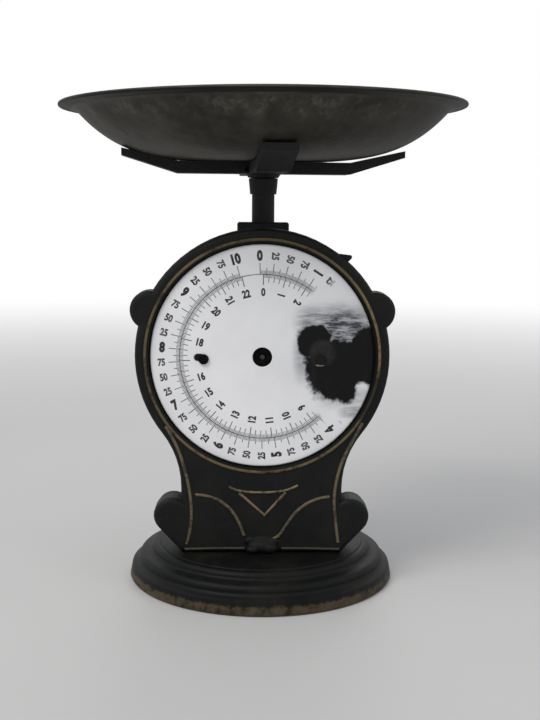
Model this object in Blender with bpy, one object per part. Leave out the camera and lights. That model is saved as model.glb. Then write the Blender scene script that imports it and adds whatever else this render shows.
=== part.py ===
"""Dial spring balance with a cast-iron keyhole body, a round stepped foot and a loose pan.

The part stands on Z = 0 with the axis of its post on X = Y = 0. The dial faces -Y.
Every length is in metres.
"""

import math

import bmesh
import bpy
from mathutils import Matrix, Vector

# Running and seating clearances
SEAT_GAP = 0.0003
RUNNING_GAP = 0.0004
OVERRUN = 0.004
SINK = 0.001
MERGE = 0.000002
METRES_TO_MM = 1000
SMOOTH_ANGLE = math.radians(35)
MITRE_LIMIT_SHARE = 0.3

# Travel of the weighing carriage and its gear
LOAD_TRAVEL = 0.0181
GEAR_MODULE = 0.0006
PINION_TEETH = 10
PRESSURE_ANGLE = math.radians(20)
BACKLASH = 0.0002
PINION_ADDENDUM_SHARE = 1.0
GEAR_DEDENDUM_SHARE = 1.25
RACK_ADDENDUM_SHARE = 0.55
PINION_WIDTH = 0.009
PINION_SETBACK = 0.003
RACK_WIDTH = 0.007
RACK_BACK = 0.006
RACK_TEETH_BELOW = 5
RACK_TEETH_SPARE = 4

# Round stepped foot, hollow below
FOOT_RADIUS = 0.0935
FOOT_HEIGHT = 0.025
FOOT_PLATE = 0.006
FOOT_BAND_DROP = 0.0038
FOOT_BAND_TAPER = 0.0016
FOOT_EDGE_ROUND = 0.0012
FOOT_GROOVE_DEPTH = 0.0048
LOWER_RING_INSET = 0.0109
LOWER_RING_DROP = 0.0062
LOWER_RING_ROUND = 0.0042
UPPER_RING_INSET = 0.0195
UPPER_RING_DROP = 0.0048
UPPER_RING_ROUND = 0.0038
FOOT_TOP_INSET = 0.0220
FOOT_TOP_STEP = 0.0012
FOOT_RIM_WALL = 0.0095
FOOT_HOLLOW_SHOULDER = 0.0080
FOOT_HOLLOW_SLOPE = 0.0150
RING_ARC_START = math.radians(80)
RING_ARC_END = math.radians(-55)

# Keyhole housing seen from the front
LEG_HEIGHT = 0.045064
RING_RADIUS = 0.0860
LEG_HALF_WIDTH = 0.0550
NECK_FILLET = 0.0620
FRONT_PLANE = 0.0380
FRONT_CASTING_DEPTH = 0.0160
FRONT_EDGE_ROUND = 0.0032
CASTING_WALL = 0.0040
FACE_THICKNESS = 0.0075

# Dial seat and raised bead round it
SEAT_MARGIN = 0.0014
SEAT_DEPTH = 0.0040
BEAD_SETBACK = 0.0021
BEAD_HALF_WIDTH = 0.0015
BEAD_HEIGHT = 0.0011

# Ears that carry the housing screws
UPPER_EAR_TURN = math.radians(22.15)
UPPER_EAR_INSET = 0.00405
UPPER_EAR_RADIUS = 0.0133
LOWER_EAR_OUT = 0.0065
LOWER_EAR_RISE = 0.0252
LOWER_EAR_RADIUS = 0.0125
UPPER_EAR_SCREW_OUT = 0.0074
REAR_EAR_THICKNESS = 0.0080

# Rear casting
REAR_INSET = 0.0015
REAR_DEPTH = 0.0560
REAR_DRAFT = 0.0030
REAR_EDGE_ROUND = 0.0060
FLOOR_THICKNESS = 0.0050

# Small lug at the foot of the face
LUG_RADIUS = 0.0062
LUG_REACH = 0.0024
LUG_RISE = 0.0012

# Enamelled dial plate
DIAL_RIM_WIDTH = 0.0106
DIAL_THICKNESS = 0.0014
DIAL_CROWN = 0.0022
DIAL_CENTRE_HOLE = 0.0066
DIAL_SCREW_SPREAD = 0.0395
DIAL_SCREW_DROP = 0.0016
DIAL_SCREW_HOLE = 0.0026

# Fasteners
DIAL_SCREW_RADIUS = 0.0016
DIAL_SCREW_HEAD = 0.0036
DIAL_SCREW_HEAD_HEIGHT = 0.0014
HOUSING_SCREW_RADIUS = 0.0020
HOUSING_SCREW_HEAD = 0.0038
HOUSING_SCREW_HEAD_HEIGHT = 0.0030
HOUSING_SCREW_REACH = 0.0100
FOOT_SCREW_RADIUS = 0.0026
FOOT_SCREW_HEAD = 0.0052
FOOT_SCREW_HEAD_HEIGHT = 0.0032
FOOT_SCREW_SPREAD = 0.0380
FOOT_SCREW_FRONT = 0.0080
FOOT_SCREW_BACK = 0.0220
SMALL_SCREW_RADIUS = 0.0014
SMALL_SCREW_HEAD = 0.0028
SMALL_SCREW_HEAD_HEIGHT = 0.0016

# Post, its collar and the guide block on the roof
POST_RADIUS = 0.0078
COLLAR_STOP_GAP = 0.0011
COLLAR_HEIGHT = 0.0109
COLLAR_RADIUS = 0.0101
COLLAR_TAPER = 0.0010
STUD_RADIUS = 0.0062
STUD_LENGTH = 0.0082
SPINDLE_RADIUS = 0.0045
SPINDLE_PROUD = 0.0080
SPINDLE_STOP_GAP = 0.0056
POST_EDGE = 0.0005
BLOCK_HALF_WIDTH = 0.0177
BLOCK_HALF_DEPTH = 0.0130
BLOCK_RISE = 0.0049
BLOCK_EDGE = 0.0008
BLOCK_BORE_GAP = 0.0004
BLOCK_SCREW_SPREAD = 0.0125
BLOCK_SCREW_REACH = 0.0020

# Four-armed pan support
HUB_RADIUS = 0.0130
HUB_DROP = 0.0026
ARM_THICKNESS = 0.0080
ARM_HALF_WIDTH = 0.0112
ARM_FLAT_REACH = 0.0590
ARM_REACH = 0.0970
ARM_TIP_THICKNESS = 0.0046
ARM_EDGE = 0.0012
SUPPORT_TURN = math.radians(6)
PIN_RADIUS = 0.0016
PIN_PROUD = 0.0018
PIN_RISE = 0.0054

# Loose sheet-metal pan
PAN_BOWL_RADIUS = 0.1263
PAN_DEPTH = 0.0330
PAN_THICKNESS = 0.0012
PAN_CURVE_SHARE = 4.3
PAN_RIM_WIDTH = 0.0109
PAN_RIM_RISE = 0.0034
PAN_BEAD_RADIUS = 0.0013
PAN_BEAD_ARC = math.radians(120)

# Load springs, hanger and crosshead
SPRING_SPREAD = 0.0340
SPRING_RADIUS = 0.0080
SPRING_WIRE = 0.0012
SPRING_TURNS = 12
SPRING_END = 0.0090
POINTS_PER_TURN = 8
SHANK_HOLD = 0.0045
HANGER_PLACE_SHARE = 0.5985
HANGER_THICKNESS = 0.0070
HANGER_END = 0.0090
HANGER_HALF_WIDTH = 0.0070
HANGER_EYE_WALL = 0.0050
HANGER_BORE_GAP = 0.0022
HANGER_SCREW_SPREAD = 0.0240
HANGER_BOSS_RADIUS = 0.0055
HANGER_SCREW_RADIUS = 0.0022
HANGER_SCREW_HEAD = 0.0042
HANGER_SCREW_HOLD = 0.0050
CROSSHEAD_HEIGHT = 0.0100
CROSSHEAD_END = 0.0070
CROSSHEAD_MIDDLE = 0.0130
CROSSHEAD_HALF_WIDTH = 0.0070
CROSSHEAD_END_RISE = 0.0035
NUT_RADIUS = 0.0085
NUT_HEIGHT = 0.0060
NUT_SIDES = 6

# Bearing bridge behind the dial
BRIDGE_SPREAD = 0.0500
BRIDGE_END = 0.0060
BRIDGE_HALF_HEIGHT = 0.0078
BRIDGE_THICKNESS = 0.0025
BRIDGE_SCREW_BITE = 0.0018
PILLAR_RADIUS = 0.0034
BUSH_WALL = 0.0022
BUSH_WALL_REACH = 0.0008
BUSH_FLANGE = 0.0012
REAR_BUSH_WALL = 0.0015
ARBOR_RADIUS = 0.0020
ARBOR_NOSE_RADIUS = 0.0016
ARBOR_NOSE_LENGTH = 0.0050
ARBOR_PIVOT_RADIUS = 0.0015
ARBOR_NOSE_SINK = 0.0006
ARBOR_PROUD = 0.0011

# Rack bracket clamped on the post
BRACKET_STOP_GAP = 0.0015
BRACKET_HEIGHT = 0.0136
BRACKET_WALL = 0.0034
BRACKET_ARM_THICKNESS = 0.0045
BRACKET_SCREW_INSET = 0.0034

# Lower guide for the spindle
GUIDE_STOP_GAP = 0.0076
GUIDE_THICKNESS = 0.0040
GUIDE_HALF_WIDTH = 0.0120
GUIDE_REACH = 0.0090
GUIDE_FLANGE_RISE = 0.0180
GUIDE_SCREW_SPREAD = 0.0070
GUIDE_SCREW_BITE = 0.0022

# Bent catch on the edge of the ring
CATCH_ANGLE = math.radians(40)
CATCH_LENGTH = 0.0105
CATCH_THICKNESS = 0.0018
CATCH_WIDTH = 0.0060
CATCH_LIFT = 0.0024
CATCH_FRONT_INSET = 0.0030

# Facets of round forms
ROUND_STEPS = 48
MEDIUM_STEPS = 24
SMALL_STEPS = 12
SCREW_STEPS = 10
EDGE_STEPS = 3


def clear_scene():
    """Remove every object that the new file came with."""
    for old in list(bpy.data.objects):
        bpy.data.objects.remove(old, do_unlink=True)


def finish_material(name, colour, roughness, metallic):
    """One Principled finish per node."""
    material = bpy.data.materials.new(name)
    material.use_nodes = True
    shader = material.node_tree.nodes["Principled BSDF"]
    shader.inputs["Base Color"].default_value = (*colour, 1)
    shader.inputs["Roughness"].default_value = roughness
    shader.inputs["Metallic"].default_value = metallic
    return material


FINISHES = {
    "iron": ((0.022, 0.024, 0.022), 0.45, 0.3),
    "steel": ((0.30, 0.30, 0.29), 0.38, 1.0),
    "brass": ((0.45, 0.34, 0.16), 0.35, 1.0),
    "enamel": ((0.72, 0.73, 0.74), 0.16, 0.0),
    "sheet": ((0.075, 0.073, 0.068), 0.42, 0.6),
}


def to_object(name, bm, finish=None, smooth=True):
    """Turn a bmesh into a named object."""
    mesh = bpy.data.meshes.new(name)
    bm.to_mesh(mesh)
    bm.free()
    thing = bpy.data.objects.new(name, mesh)
    bpy.context.scene.collection.objects.link(thing)
    if finish:
        dress(thing, finish, smooth)
    return thing


def dress(thing, finish, smooth=True):
    """Give an object its finish and its shading."""
    thing.data.materials.clear()
    thing.data.materials.append(finish_material(thing.name, *FINISHES[finish]))
    if smooth:
        thing.data.shade_smooth()
        thing.data.set_sharp_from_angle(angle=SMOOTH_ANGLE)


def keep_origin(thing, point):
    """Put the origin on a point of the joint's axis and leave the shape where it is."""
    thing.data.transform(Matrix.Translation(-Vector(point)))
    thing.location = point


def turned_bmesh(profile, steps):
    """Spin a closed (radius, height) profile round Z."""
    bm = bmesh.new()
    verts = [bm.verts.new((radius, 0, height)) for radius, height in profile]
    edges = [bm.edges.new(pair) for pair in zip(verts, verts[1:])]
    on_axis = profile[0][0] == 0 and profile[-1][0] == 0
    if not on_axis:
        edges.append(bm.edges.new((verts[-1], verts[0])))
    bmesh.ops.spin(
        bm, geom=verts + edges, cent=(0, 0, 0), axis=(0, 0, 1), angle=math.tau, steps=steps, use_merge=True
    )
    bmesh.ops.remove_doubles(bm, verts=bm.verts, dist=MERGE)
    bmesh.ops.recalc_face_normals(bm, faces=bm.faces)
    return bm


def turned(name, profile, steps, finish=None, place=None):
    """A turned solid, moved to its place by a matrix."""
    bm = turned_bmesh(profile, steps)
    if place:
        bm.transform(place)
    return to_object(name, bm, finish)


def rod_profile(radius, low, high):
    """The profile of a plain rod."""
    return [(0, low), (radius, low), (radius, high), (0, high)]


def along_y(x, z):
    """Lay a piece that was turned on Z along +Y through (x, z)."""
    return Matrix.Translation((x, 0, z)) @ Matrix.Rotation(-math.pi / 2, 4, "X")


def prism(name, outline, back, front, finish=None):
    """Extrude an (x, z) outline along Y between two planes."""
    bm = bmesh.new()
    face = bm.faces.new([bm.verts.new((x, back, z)) for x, z in outline])
    moved = bmesh.ops.extrude_face_region(bm, geom=[face])
    verts = [item for item in moved["geom"] if isinstance(item, bmesh.types.BMVert)]
    bmesh.ops.translate(bm, verts=verts, vec=(0, front - back, 0))
    bmesh.ops.recalc_face_normals(bm, faces=bm.faces)
    return to_object(name, bm, finish, smooth=False)


def block(name, low, high, finish=None, edge=0):
    """A box between two corners, with its edges broken."""
    bm = bmesh.new()
    size = Vector(high) - Vector(low)
    centre = (Vector(high) + Vector(low)) / 2
    bmesh.ops.create_cube(bm, size=1, matrix=Matrix.Translation(centre) @ Matrix.Diagonal((*size, 1)))
    if edge:
        bmesh.ops.bevel(bm, geom=bm.edges, offset=edge, segments=1, affect="EDGES")
    return to_object(name, bm, finish, smooth=False)


def combine(target, tool, operation):
    """Cut or join a tool with the target and take the tool away."""
    change = target.modifiers.new(operation.lower(), "BOOLEAN")
    change.operation = operation
    change.solver = "EXACT"
    change.use_self = True
    change.object = tool
    bpy.context.view_layer.update()
    evaluated = target.evaluated_get(bpy.context.evaluated_depsgraph_get())
    old = target.data
    target.data = bpy.data.meshes.new_from_object(evaluated)
    target.modifiers.clear()
    bpy.data.meshes.remove(old)
    bpy.data.objects.remove(tool, do_unlink=True)


def cut(target, *tools):
    """Take the tools' shapes out of the target in one cut."""
    bm = bmesh.new()
    for tool in tools:
        bm.from_mesh(tool.data)
        bpy.data.objects.remove(tool, do_unlink=True)
    combine(target, to_object("cutters", bm), "DIFFERENCE")


def join(target, *tools):
    """Fuse the tools' shapes with the target."""
    for tool in tools:
        combine(target, tool, "UNION")


def numbered(name, solids, finish):
    """Like pieces, each one its own node with a number."""
    for number, solid in enumerate(solids, 1):
        solid.name = f"{name}_{number}"
        dress(solid, finish)


def arc(centre, radius, start, end, steps):
    """Points on an arc from one angle to the other, both included."""
    cx, cz = centre
    turns = [start + (end - start) * step / steps for step in range(steps + 1)]
    return [(cx + radius * math.cos(turn), cz + radius * math.sin(turn)) for turn in turns]


def offset_outline(points, distance):
    """Move every side of a closed outline inward by a distance, with mitred corners."""
    count = len(points)
    area = sum(
        points[i][0] * points[(i + 1) % count][1] - points[(i + 1) % count][0] * points[i][1]
        for i in range(count)
    )
    sign = 1 if area > 0 else -1
    moved = []
    for i in range(count):
        here = Vector(points[i])
        before = (here - Vector(points[i - 1])).normalized()
        after = (Vector(points[(i + 1) % count]) - here).normalized()
        normal_before = Vector((-before.y, before.x)) * sign
        normal_after = Vector((-after.y, after.x)) * sign
        bisector = (normal_before + normal_after).normalized()
        reach = distance / max(bisector.dot(normal_before), MITRE_LIMIT_SHARE)
        moved.append(tuple(here + bisector * reach))
    return moved


def neck(inset):
    """The concave neck between the straight leg and the ring, without the point where the ring begins."""
    centre = (NECK_ACROSS, DIAL_HEIGHT - NECK_DOWN)
    return arc(centre, NECK_FILLET + inset, math.pi, math.pi + NECK_TURN, EDGE_STEPS * 2)[:-1]


def keyhole(inset, bottom):
    """Outline of the ring, the concave neck and the straight legs, inset from the front casting's."""
    top = arc((0, DIAL_HEIGHT), RING_RADIUS - inset, NECK_TURN, math.pi - NECK_TURN, ROUND_STEPS)
    right = [(LEG_HALF_WIDTH - inset, bottom)] + neck(inset)
    left = [(-x, z) for x, z in reversed(right)]
    return right + top + left


def mirrored(outline):
    """The same outline on the other side of the axis."""
    return [(-x, z) for x, z in reversed(outline)]


def toe(inset, bottom):
    """Lower ear: a straight toe up from the corner of the casting and a round lobe."""
    radius = LOWER_EAR_RADIUS - inset
    corner = (LEG_HALF_WIDTH - inset, bottom)
    centre = (LOWER_EAR_SPREAD, LOWER_EAR_HEIGHT)
    apart = math.dist(centre, corner)
    facing = math.atan2(corner[1] - centre[1], corner[0] - centre[0])
    tangent = facing + math.acos(radius / apart)
    leg = math.acos((corner[0] - centre[0]) / radius)
    return [corner] + arc(centre, radius, tangent, leg, SMALL_STEPS)


def eared_ring(inset, start):
    """Right half of the ring from an angle to its top, with the upper ear standing out of it."""
    ring = RING_RADIUS - inset
    radius = UPPER_EAR_RADIUS - inset
    centre = (UPPER_EAR_SPREAD, UPPER_EAR_HEIGHT)
    apart = math.hypot(centre[0], centre[1] - DIAL_HEIGHT)
    facing = math.atan2(centre[1] - DIAL_HEIGHT, centre[0])
    spread = math.acos((ring**2 + apart**2 - radius**2) / (2 * ring * apart))
    meets = [
        (ring * math.cos(facing + side * spread), DIAL_HEIGHT + ring * math.sin(facing + side * spread))
        for side in (-1, 1)
    ]
    turns = [math.atan2(z - centre[1], x - centre[0]) for x, z in meets]
    below = arc((0, DIAL_HEIGHT), ring, start, facing - spread, SMALL_STEPS)
    ear = arc(centre, radius, turns[0], turns[1], SMALL_STEPS)
    above = arc((0, DIAL_HEIGHT), ring, facing + spread, math.pi / 2, SMALL_STEPS)
    return below + ear[1:] + above[1:]


def eared_keyhole(inset, bottom):
    """The keyhole outline with its four ears."""
    right = toe(inset, bottom) + neck(inset) + eared_ring(inset, NECK_TURN)
    return right + mirrored(right[:-1])


def layered(name, outlines):
    """Loft between outlines of equal counts, given as (y, outline), and cap both ends."""
    bm = bmesh.new()
    rings = [[bm.verts.new((x, y, z)) for x, z in outline] for y, outline in outlines]
    for near, far in zip(rings, rings[1:]):
        for i in range(len(near)):
            j = (i + 1) % len(near)
            bm.faces.new((near[i], near[j], far[j], far[i]))
    bm.faces.new(rings[0])
    bm.faces.new(rings[-1])
    bmesh.ops.recalc_face_normals(bm, faces=bm.faces)
    return to_object(name, bm)


def rounded_slab(name, outline, front, back, edge):
    """A slab from a front plane to a back plane whose front edge is rounded."""
    layers = []
    for step in range(EDGE_STEPS + 1):
        turn = math.pi / 2 * step / EDGE_STEPS
        inset = edge * (1 - math.sin(turn))
        layers.append((front + edge * (1 - math.cos(turn)), offset_outline(outline, inset)))
    layers.append((back, outline))
    return layered(name, layers)


def screw(name, shank, length, head, head_height, place):
    """A screw along +Z: its head's underside is at zero and its shank runs up."""
    profile = [
        (0, -head_height),
        (head - head_height / 4, -head_height),
        (head, -head_height * 3 / 4),
        (head, 0),
        (shank, 0),
        (shank, length),
        (0, length),
    ]
    return turned(name, profile, SCREW_STEPS, place=place)


def toward(direction, point):
    """Turn +Z to a direction and move it to a point."""
    turn = Vector((0, 0, 1)).rotation_difference(Vector(direction)).to_matrix().to_4x4()
    return Matrix.Translation(point) @ turn


def hole(radius, start, end):
    """A round cutter between two points."""
    start = Vector(start)
    way = Vector(end) - start
    return turned("hole", rod_profile(radius, 0, way.length), SMALL_STEPS, place=toward(way, start))


# Planes of the two castings, from the front to the back
FRONT_Y = -FRONT_PLANE
SEAT_Y = FRONT_Y + SEAT_DEPTH
FACE_BACK_Y = FRONT_Y + FACE_THICKNESS
PARTING_Y = FRONT_Y + FRONT_CASTING_DEPTH
REAR_FRONT_Y = PARTING_Y + SEAT_GAP
REAR_Y = REAR_FRONT_Y + REAR_DEPTH

# Foot, housing and dial
UPPER_RING_HEIGHT = FOOT_HEIGHT - UPPER_RING_DROP
LOWER_RING_HEIGHT = UPPER_RING_HEIGHT - LOWER_RING_DROP
FOOT_BAND_HEIGHT = LOWER_RING_HEIGHT - FOOT_BAND_DROP
HOUSING_FOOT = FOOT_HEIGHT + SEAT_GAP
NECK_ACROSS = LEG_HALF_WIDTH + NECK_FILLET
NECK_DOWN = math.sqrt((RING_RADIUS + NECK_FILLET) ** 2 - NECK_ACROSS**2)
NECK_TURN = math.atan2(-NECK_DOWN, NECK_ACROSS)
DIAL_HEIGHT = HOUSING_FOOT + LEG_HEIGHT + NECK_DOWN
DIAL_RADIUS = RING_RADIUS - DIAL_RIM_WIDTH
SEAT_RADIUS = DIAL_RADIUS + SEAT_MARGIN
BEAD_RADIUS = SEAT_RADIUS + BEAD_SETBACK
UPPER_EAR_REACH = RING_RADIUS - UPPER_EAR_INSET
UPPER_EAR_SPREAD = UPPER_EAR_REACH * math.cos(UPPER_EAR_TURN)
UPPER_EAR_HEIGHT = DIAL_HEIGHT + UPPER_EAR_REACH * math.sin(UPPER_EAR_TURN)
LOWER_EAR_SPREAD = LEG_HALF_WIDTH + LOWER_EAR_OUT
LOWER_EAR_HEIGHT = HOUSING_FOOT + LOWER_EAR_RISE
ROOF_OUTER = RING_RADIUS - REAR_INSET
ROOF_INNER = ROOF_OUTER - CASTING_WALL

# Post and what it carries, from the roof up
BLOCK_TOP = DIAL_HEIGHT + ROOF_OUTER + BLOCK_RISE
COLLAR_BOTTOM = BLOCK_TOP + LOAD_TRAVEL + COLLAR_STOP_GAP
COLLAR_TOP = COLLAR_BOTTOM + COLLAR_HEIGHT
HUB_BOTTOM = COLLAR_TOP + SEAT_GAP
ARM_UNDERSIDE = HUB_BOTTOM + HUB_DROP
ARM_TOP = ARM_UNDERSIDE + ARM_THICKNESS
PIN_HEIGHT = HUB_BOTTOM + PIN_RISE
PIN_HALF_LENGTH = HUB_RADIUS + PIN_PROUD
PAN_BOTTOM = ARM_TOP + SEAT_GAP
PAN_RIM_RADIUS = PAN_BOWL_RADIUS + PAN_RIM_WIDTH

# Spindle, lower guide and crosshead, from the floor up
SPINDLE_BOTTOM = HOUSING_FOOT + FLOOR_THICKNESS + LOAD_TRAVEL + SPINDLE_STOP_GAP
GUIDE_LOW = SPINDLE_BOTTOM + SPINDLE_PROUD
GUIDE_TOP = GUIDE_LOW + GUIDE_THICKNESS
NUT_BOTTOM = GUIDE_TOP + LOAD_TRAVEL + GUIDE_STOP_GAP
NUT_TOP = NUT_BOTTOM + NUT_HEIGHT
CROSSHEAD_BOTTOM = NUT_TOP + SEAT_GAP
CROSSHEAD_TOP = CROSSHEAD_BOTTOM + CROSSHEAD_HEIGHT
CROSSHEAD_HALF_LENGTH = SPRING_SPREAD + CROSSHEAD_END

# Gear train between the post and the dial
PITCH_RADIUS = GEAR_MODULE * PINION_TEETH / 2
TOOTH_PITCH = math.pi * GEAR_MODULE
RACK_TEETH_ABOVE = math.ceil(LOAD_TRAVEL / TOOTH_PITCH) + RACK_TEETH_SPARE
RACK_ROOT = PITCH_RADIUS + GEAR_MODULE * GEAR_DEDENDUM_SHARE
RACK_OUTER = RACK_ROOT + RACK_BACK
BRACKET_HALF_WIDTH = POST_RADIUS + BRACKET_WALL
BRACKET_LOW = DIAL_HEIGHT + BRIDGE_HALF_HEIGHT + LOAD_TRAVEL + BRACKET_STOP_GAP
BRACKET_TOP = BRACKET_LOW + BRACKET_HEIGHT
BRACKET_ARM_INNER = RACK_OUTER + SEAT_GAP
BRACKET_ARM_OUTER = BRACKET_ARM_INNER + BRACKET_ARM_THICKNESS
BRIDGE_BACK_Y = -BRACKET_HALF_WIDTH - SEAT_GAP
BRIDGE_FRONT_Y = BRIDGE_BACK_Y - BRIDGE_THICKNESS
BRIDGE_HALF_LENGTH = BRIDGE_SPREAD + BRIDGE_END
BUSH_BORE = ARBOR_RADIUS + RUNNING_GAP
BUSH_RADIUS = BUSH_BORE + BUSH_WALL
BUSH_FLANGE_RADIUS = BUSH_RADIUS + BUSH_FLANGE
REAR_BUSH_BORE = ARBOR_PIVOT_RADIUS + RUNNING_GAP
REAR_BUSH_RADIUS = REAR_BUSH_BORE + REAR_BUSH_WALL
ARBOR_FRONT_Y = FRONT_Y + ARBOR_NOSE_SINK
ARBOR_BACK_Y = BRIDGE_BACK_Y + ARBOR_PROUD
PINION_FRONT_Y = FACE_BACK_Y + PINION_SETBACK
PINION_BACK_Y = PINION_FRONT_Y + PINION_WIDTH
RACK_FRONT_Y = PINION_FRONT_Y + (PINION_WIDTH - RACK_WIDTH) / 2

# Hanger between the bracket and the roof, and the springs under it
HANGER_BORE = POST_RADIUS + HANGER_BORE_GAP
HANGER_EYE_RADIUS = HANGER_BORE + HANGER_EYE_WALL
HANGER_HALF_LENGTH = SPRING_SPREAD + HANGER_END
HANGER_ROOF = DIAL_HEIGHT + math.sqrt(ROOF_INNER**2 - HANGER_HALF_LENGTH**2)
HANGER_ROOM = HANGER_ROOF - BRACKET_TOP - HANGER_THICKNESS
HANGER_UNDERSIDE = BRACKET_TOP + HANGER_ROOM * HANGER_PLACE_SHARE
HANGER_TOP = HANGER_UNDERSIDE + HANGER_THICKNESS
SPRING_BODY = HANGER_UNDERSIDE - CROSSHEAD_TOP - (SPRING_RADIUS + SPRING_END) * 2
SPRING_PITCH = SPRING_BODY / SPRING_TURNS

# Places of the fasteners
EAR_SCREWS = [
    (UPPER_EAR_SPREAD + UPPER_EAR_SCREW_OUT * math.cos(UPPER_EAR_TURN),
     UPPER_EAR_HEIGHT + UPPER_EAR_SCREW_OUT * math.sin(UPPER_EAR_TURN)),
    (LOWER_EAR_SPREAD, LOWER_EAR_HEIGHT),
]
EAR_PLACES = [(side * spread, height) for side in (-1, 1) for spread, height in EAR_SCREWS]
FOOT_SCREW_PLACES = [
    (side * FOOT_SCREW_SPREAD, y) for side in (-1, 1) for y in (-FOOT_SCREW_FRONT, FOOT_SCREW_BACK)
]


def foot():
    """Turned foot with two round steps over a plain band, hollow below."""
    band_top = FOOT_RADIUS - FOOT_BAND_TAPER
    groove = band_top - FOOT_GROOVE_DEPTH
    rim_inner = FOOT_RADIUS - FOOT_RIM_WALL
    ceiling = FOOT_HEIGHT - FOOT_PLATE
    top_radius = FOOT_RADIUS - FOOT_TOP_INSET
    lower_centre = (FOOT_RADIUS - LOWER_RING_INSET, LOWER_RING_HEIGHT)
    upper_centre = (FOOT_RADIUS - UPPER_RING_INSET, UPPER_RING_HEIGHT)
    lower = arc(lower_centre, LOWER_RING_ROUND, RING_ARC_START, RING_ARC_END, EDGE_STEPS + 1)
    upper = arc(upper_centre, UPPER_RING_ROUND, RING_ARC_START, RING_ARC_END, EDGE_STEPS + 1)
    profile = [(0, FOOT_HEIGHT), (top_radius, FOOT_HEIGHT)]
    profile += [(top_radius + FOOT_TOP_STEP, FOOT_HEIGHT - FOOT_TOP_STEP)]
    profile += upper + lower
    profile += [
        (groove, FOOT_BAND_HEIGHT),
        (band_top - FOOT_EDGE_ROUND, FOOT_BAND_HEIGHT),
        (band_top, FOOT_BAND_HEIGHT - FOOT_EDGE_ROUND),
        (FOOT_RADIUS, FOOT_EDGE_ROUND),
        (FOOT_RADIUS - FOOT_EDGE_ROUND, 0),
        (rim_inner, 0),
        (rim_inner - FOOT_EDGE_ROUND, FOOT_HOLLOW_SHOULDER),
        (rim_inner - FOOT_HOLLOW_SLOPE, ceiling),
        (0, ceiling),
    ]
    piece = turned("foot", profile, ROUND_STEPS)
    holes = [
        hole(FOOT_SCREW_RADIUS + SEAT_GAP, (x, y, ceiling - OVERRUN), (x, y, FOOT_HEIGHT + OVERRUN))
        for x, y in FOOT_SCREW_PLACES
    ]
    cut(piece, *holes)
    dress(piece, "iron")


def foot_screws():
    """Four screws that hold the housing down on the foot."""
    ceiling = FOOT_HEIGHT - FOOT_PLATE
    length = FOOT_PLATE + SEAT_GAP + FLOOR_THICKNESS
    screws = [
        screw(
            "foot_screw",
            FOOT_SCREW_RADIUS,
            length,
            FOOT_SCREW_HEAD,
            FOOT_SCREW_HEAD_HEIGHT,
            Matrix.Translation((x, y, ceiling - SEAT_GAP)),
        )
        for x, y in FOOT_SCREW_PLACES
    ]
    numbered("foot_screw", screws, "steel")


def housing_front():
    """Front casting: a keyhole face with ears, a dial seat and a raised bead."""
    outline = eared_keyhole(0, HOUSING_FOOT)
    piece = rounded_slab("housing_front", outline, FRONT_Y, PARTING_Y, FRONT_EDGE_ROUND)
    bead = arc((BEAD_RADIUS, 0), BEAD_HALF_WIDTH, 0, math.pi, EDGE_STEPS + 1)
    bead = [(radius, height * BEAD_HEIGHT / BEAD_HALF_WIDTH) for radius, height in bead]
    low = [(bead[-1][0], -SINK), (bead[0][0], -SINK)]
    face_on = Matrix.Translation((0, FRONT_Y, DIAL_HEIGHT)) @ Matrix.Rotation(math.pi / 2, 4, "X")
    join(piece, turned("bead", bead + low, ROUND_STEPS, place=face_on))
    lug = arc((0, 0), LUG_RADIUS, 0, math.pi, SMALL_STEPS)
    lug = [(x, HOUSING_FOOT + LUG_RISE + z) for x, z in lug]
    join(piece, prism("lug", lug, FRONT_Y + SINK, FRONT_Y - LUG_REACH))
    seat = [(0, -SEAT_DEPTH), (SEAT_RADIUS, -SEAT_DEPTH), (SEAT_RADIUS, OVERRUN), (0, OVERRUN)]
    cut(piece, turned("seat", seat, ROUND_STEPS, place=face_on))
    cavity = keyhole(CASTING_WALL, HOUSING_FOOT + CASTING_WALL)
    cut(piece, prism("cavity", cavity, FACE_BACK_Y, PARTING_Y + OVERRUN))
    holes = [hole(BUSH_RADIUS + SEAT_GAP, (0, FRONT_Y, DIAL_HEIGHT), (0, PARTING_Y, DIAL_HEIGHT))]
    for side in (-1, 1):
        x, z = side * DIAL_SCREW_SPREAD, DIAL_HEIGHT - DIAL_SCREW_DROP
        holes.append(hole(DIAL_SCREW_RADIUS + SEAT_GAP, (x, FRONT_Y, z), (x, PARTING_Y, z)))
        x = side * BRIDGE_SPREAD
        bite = FACE_BACK_Y - BRIDGE_SCREW_BITE - SEAT_GAP
        holes.append(hole(SMALL_SCREW_RADIUS + SEAT_GAP, (x, bite, DIAL_HEIGHT), (x, PARTING_Y, DIAL_HEIGHT)))
    for x, z in EAR_PLACES:
        end = PARTING_Y - HOUSING_SCREW_REACH - SEAT_GAP
        holes.append(hole(HOUSING_SCREW_RADIUS + SEAT_GAP, (x, end, z), (x, PARTING_Y + OVERRUN, z)))
    cut(piece, *holes)
    dress(piece, "iron")


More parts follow.
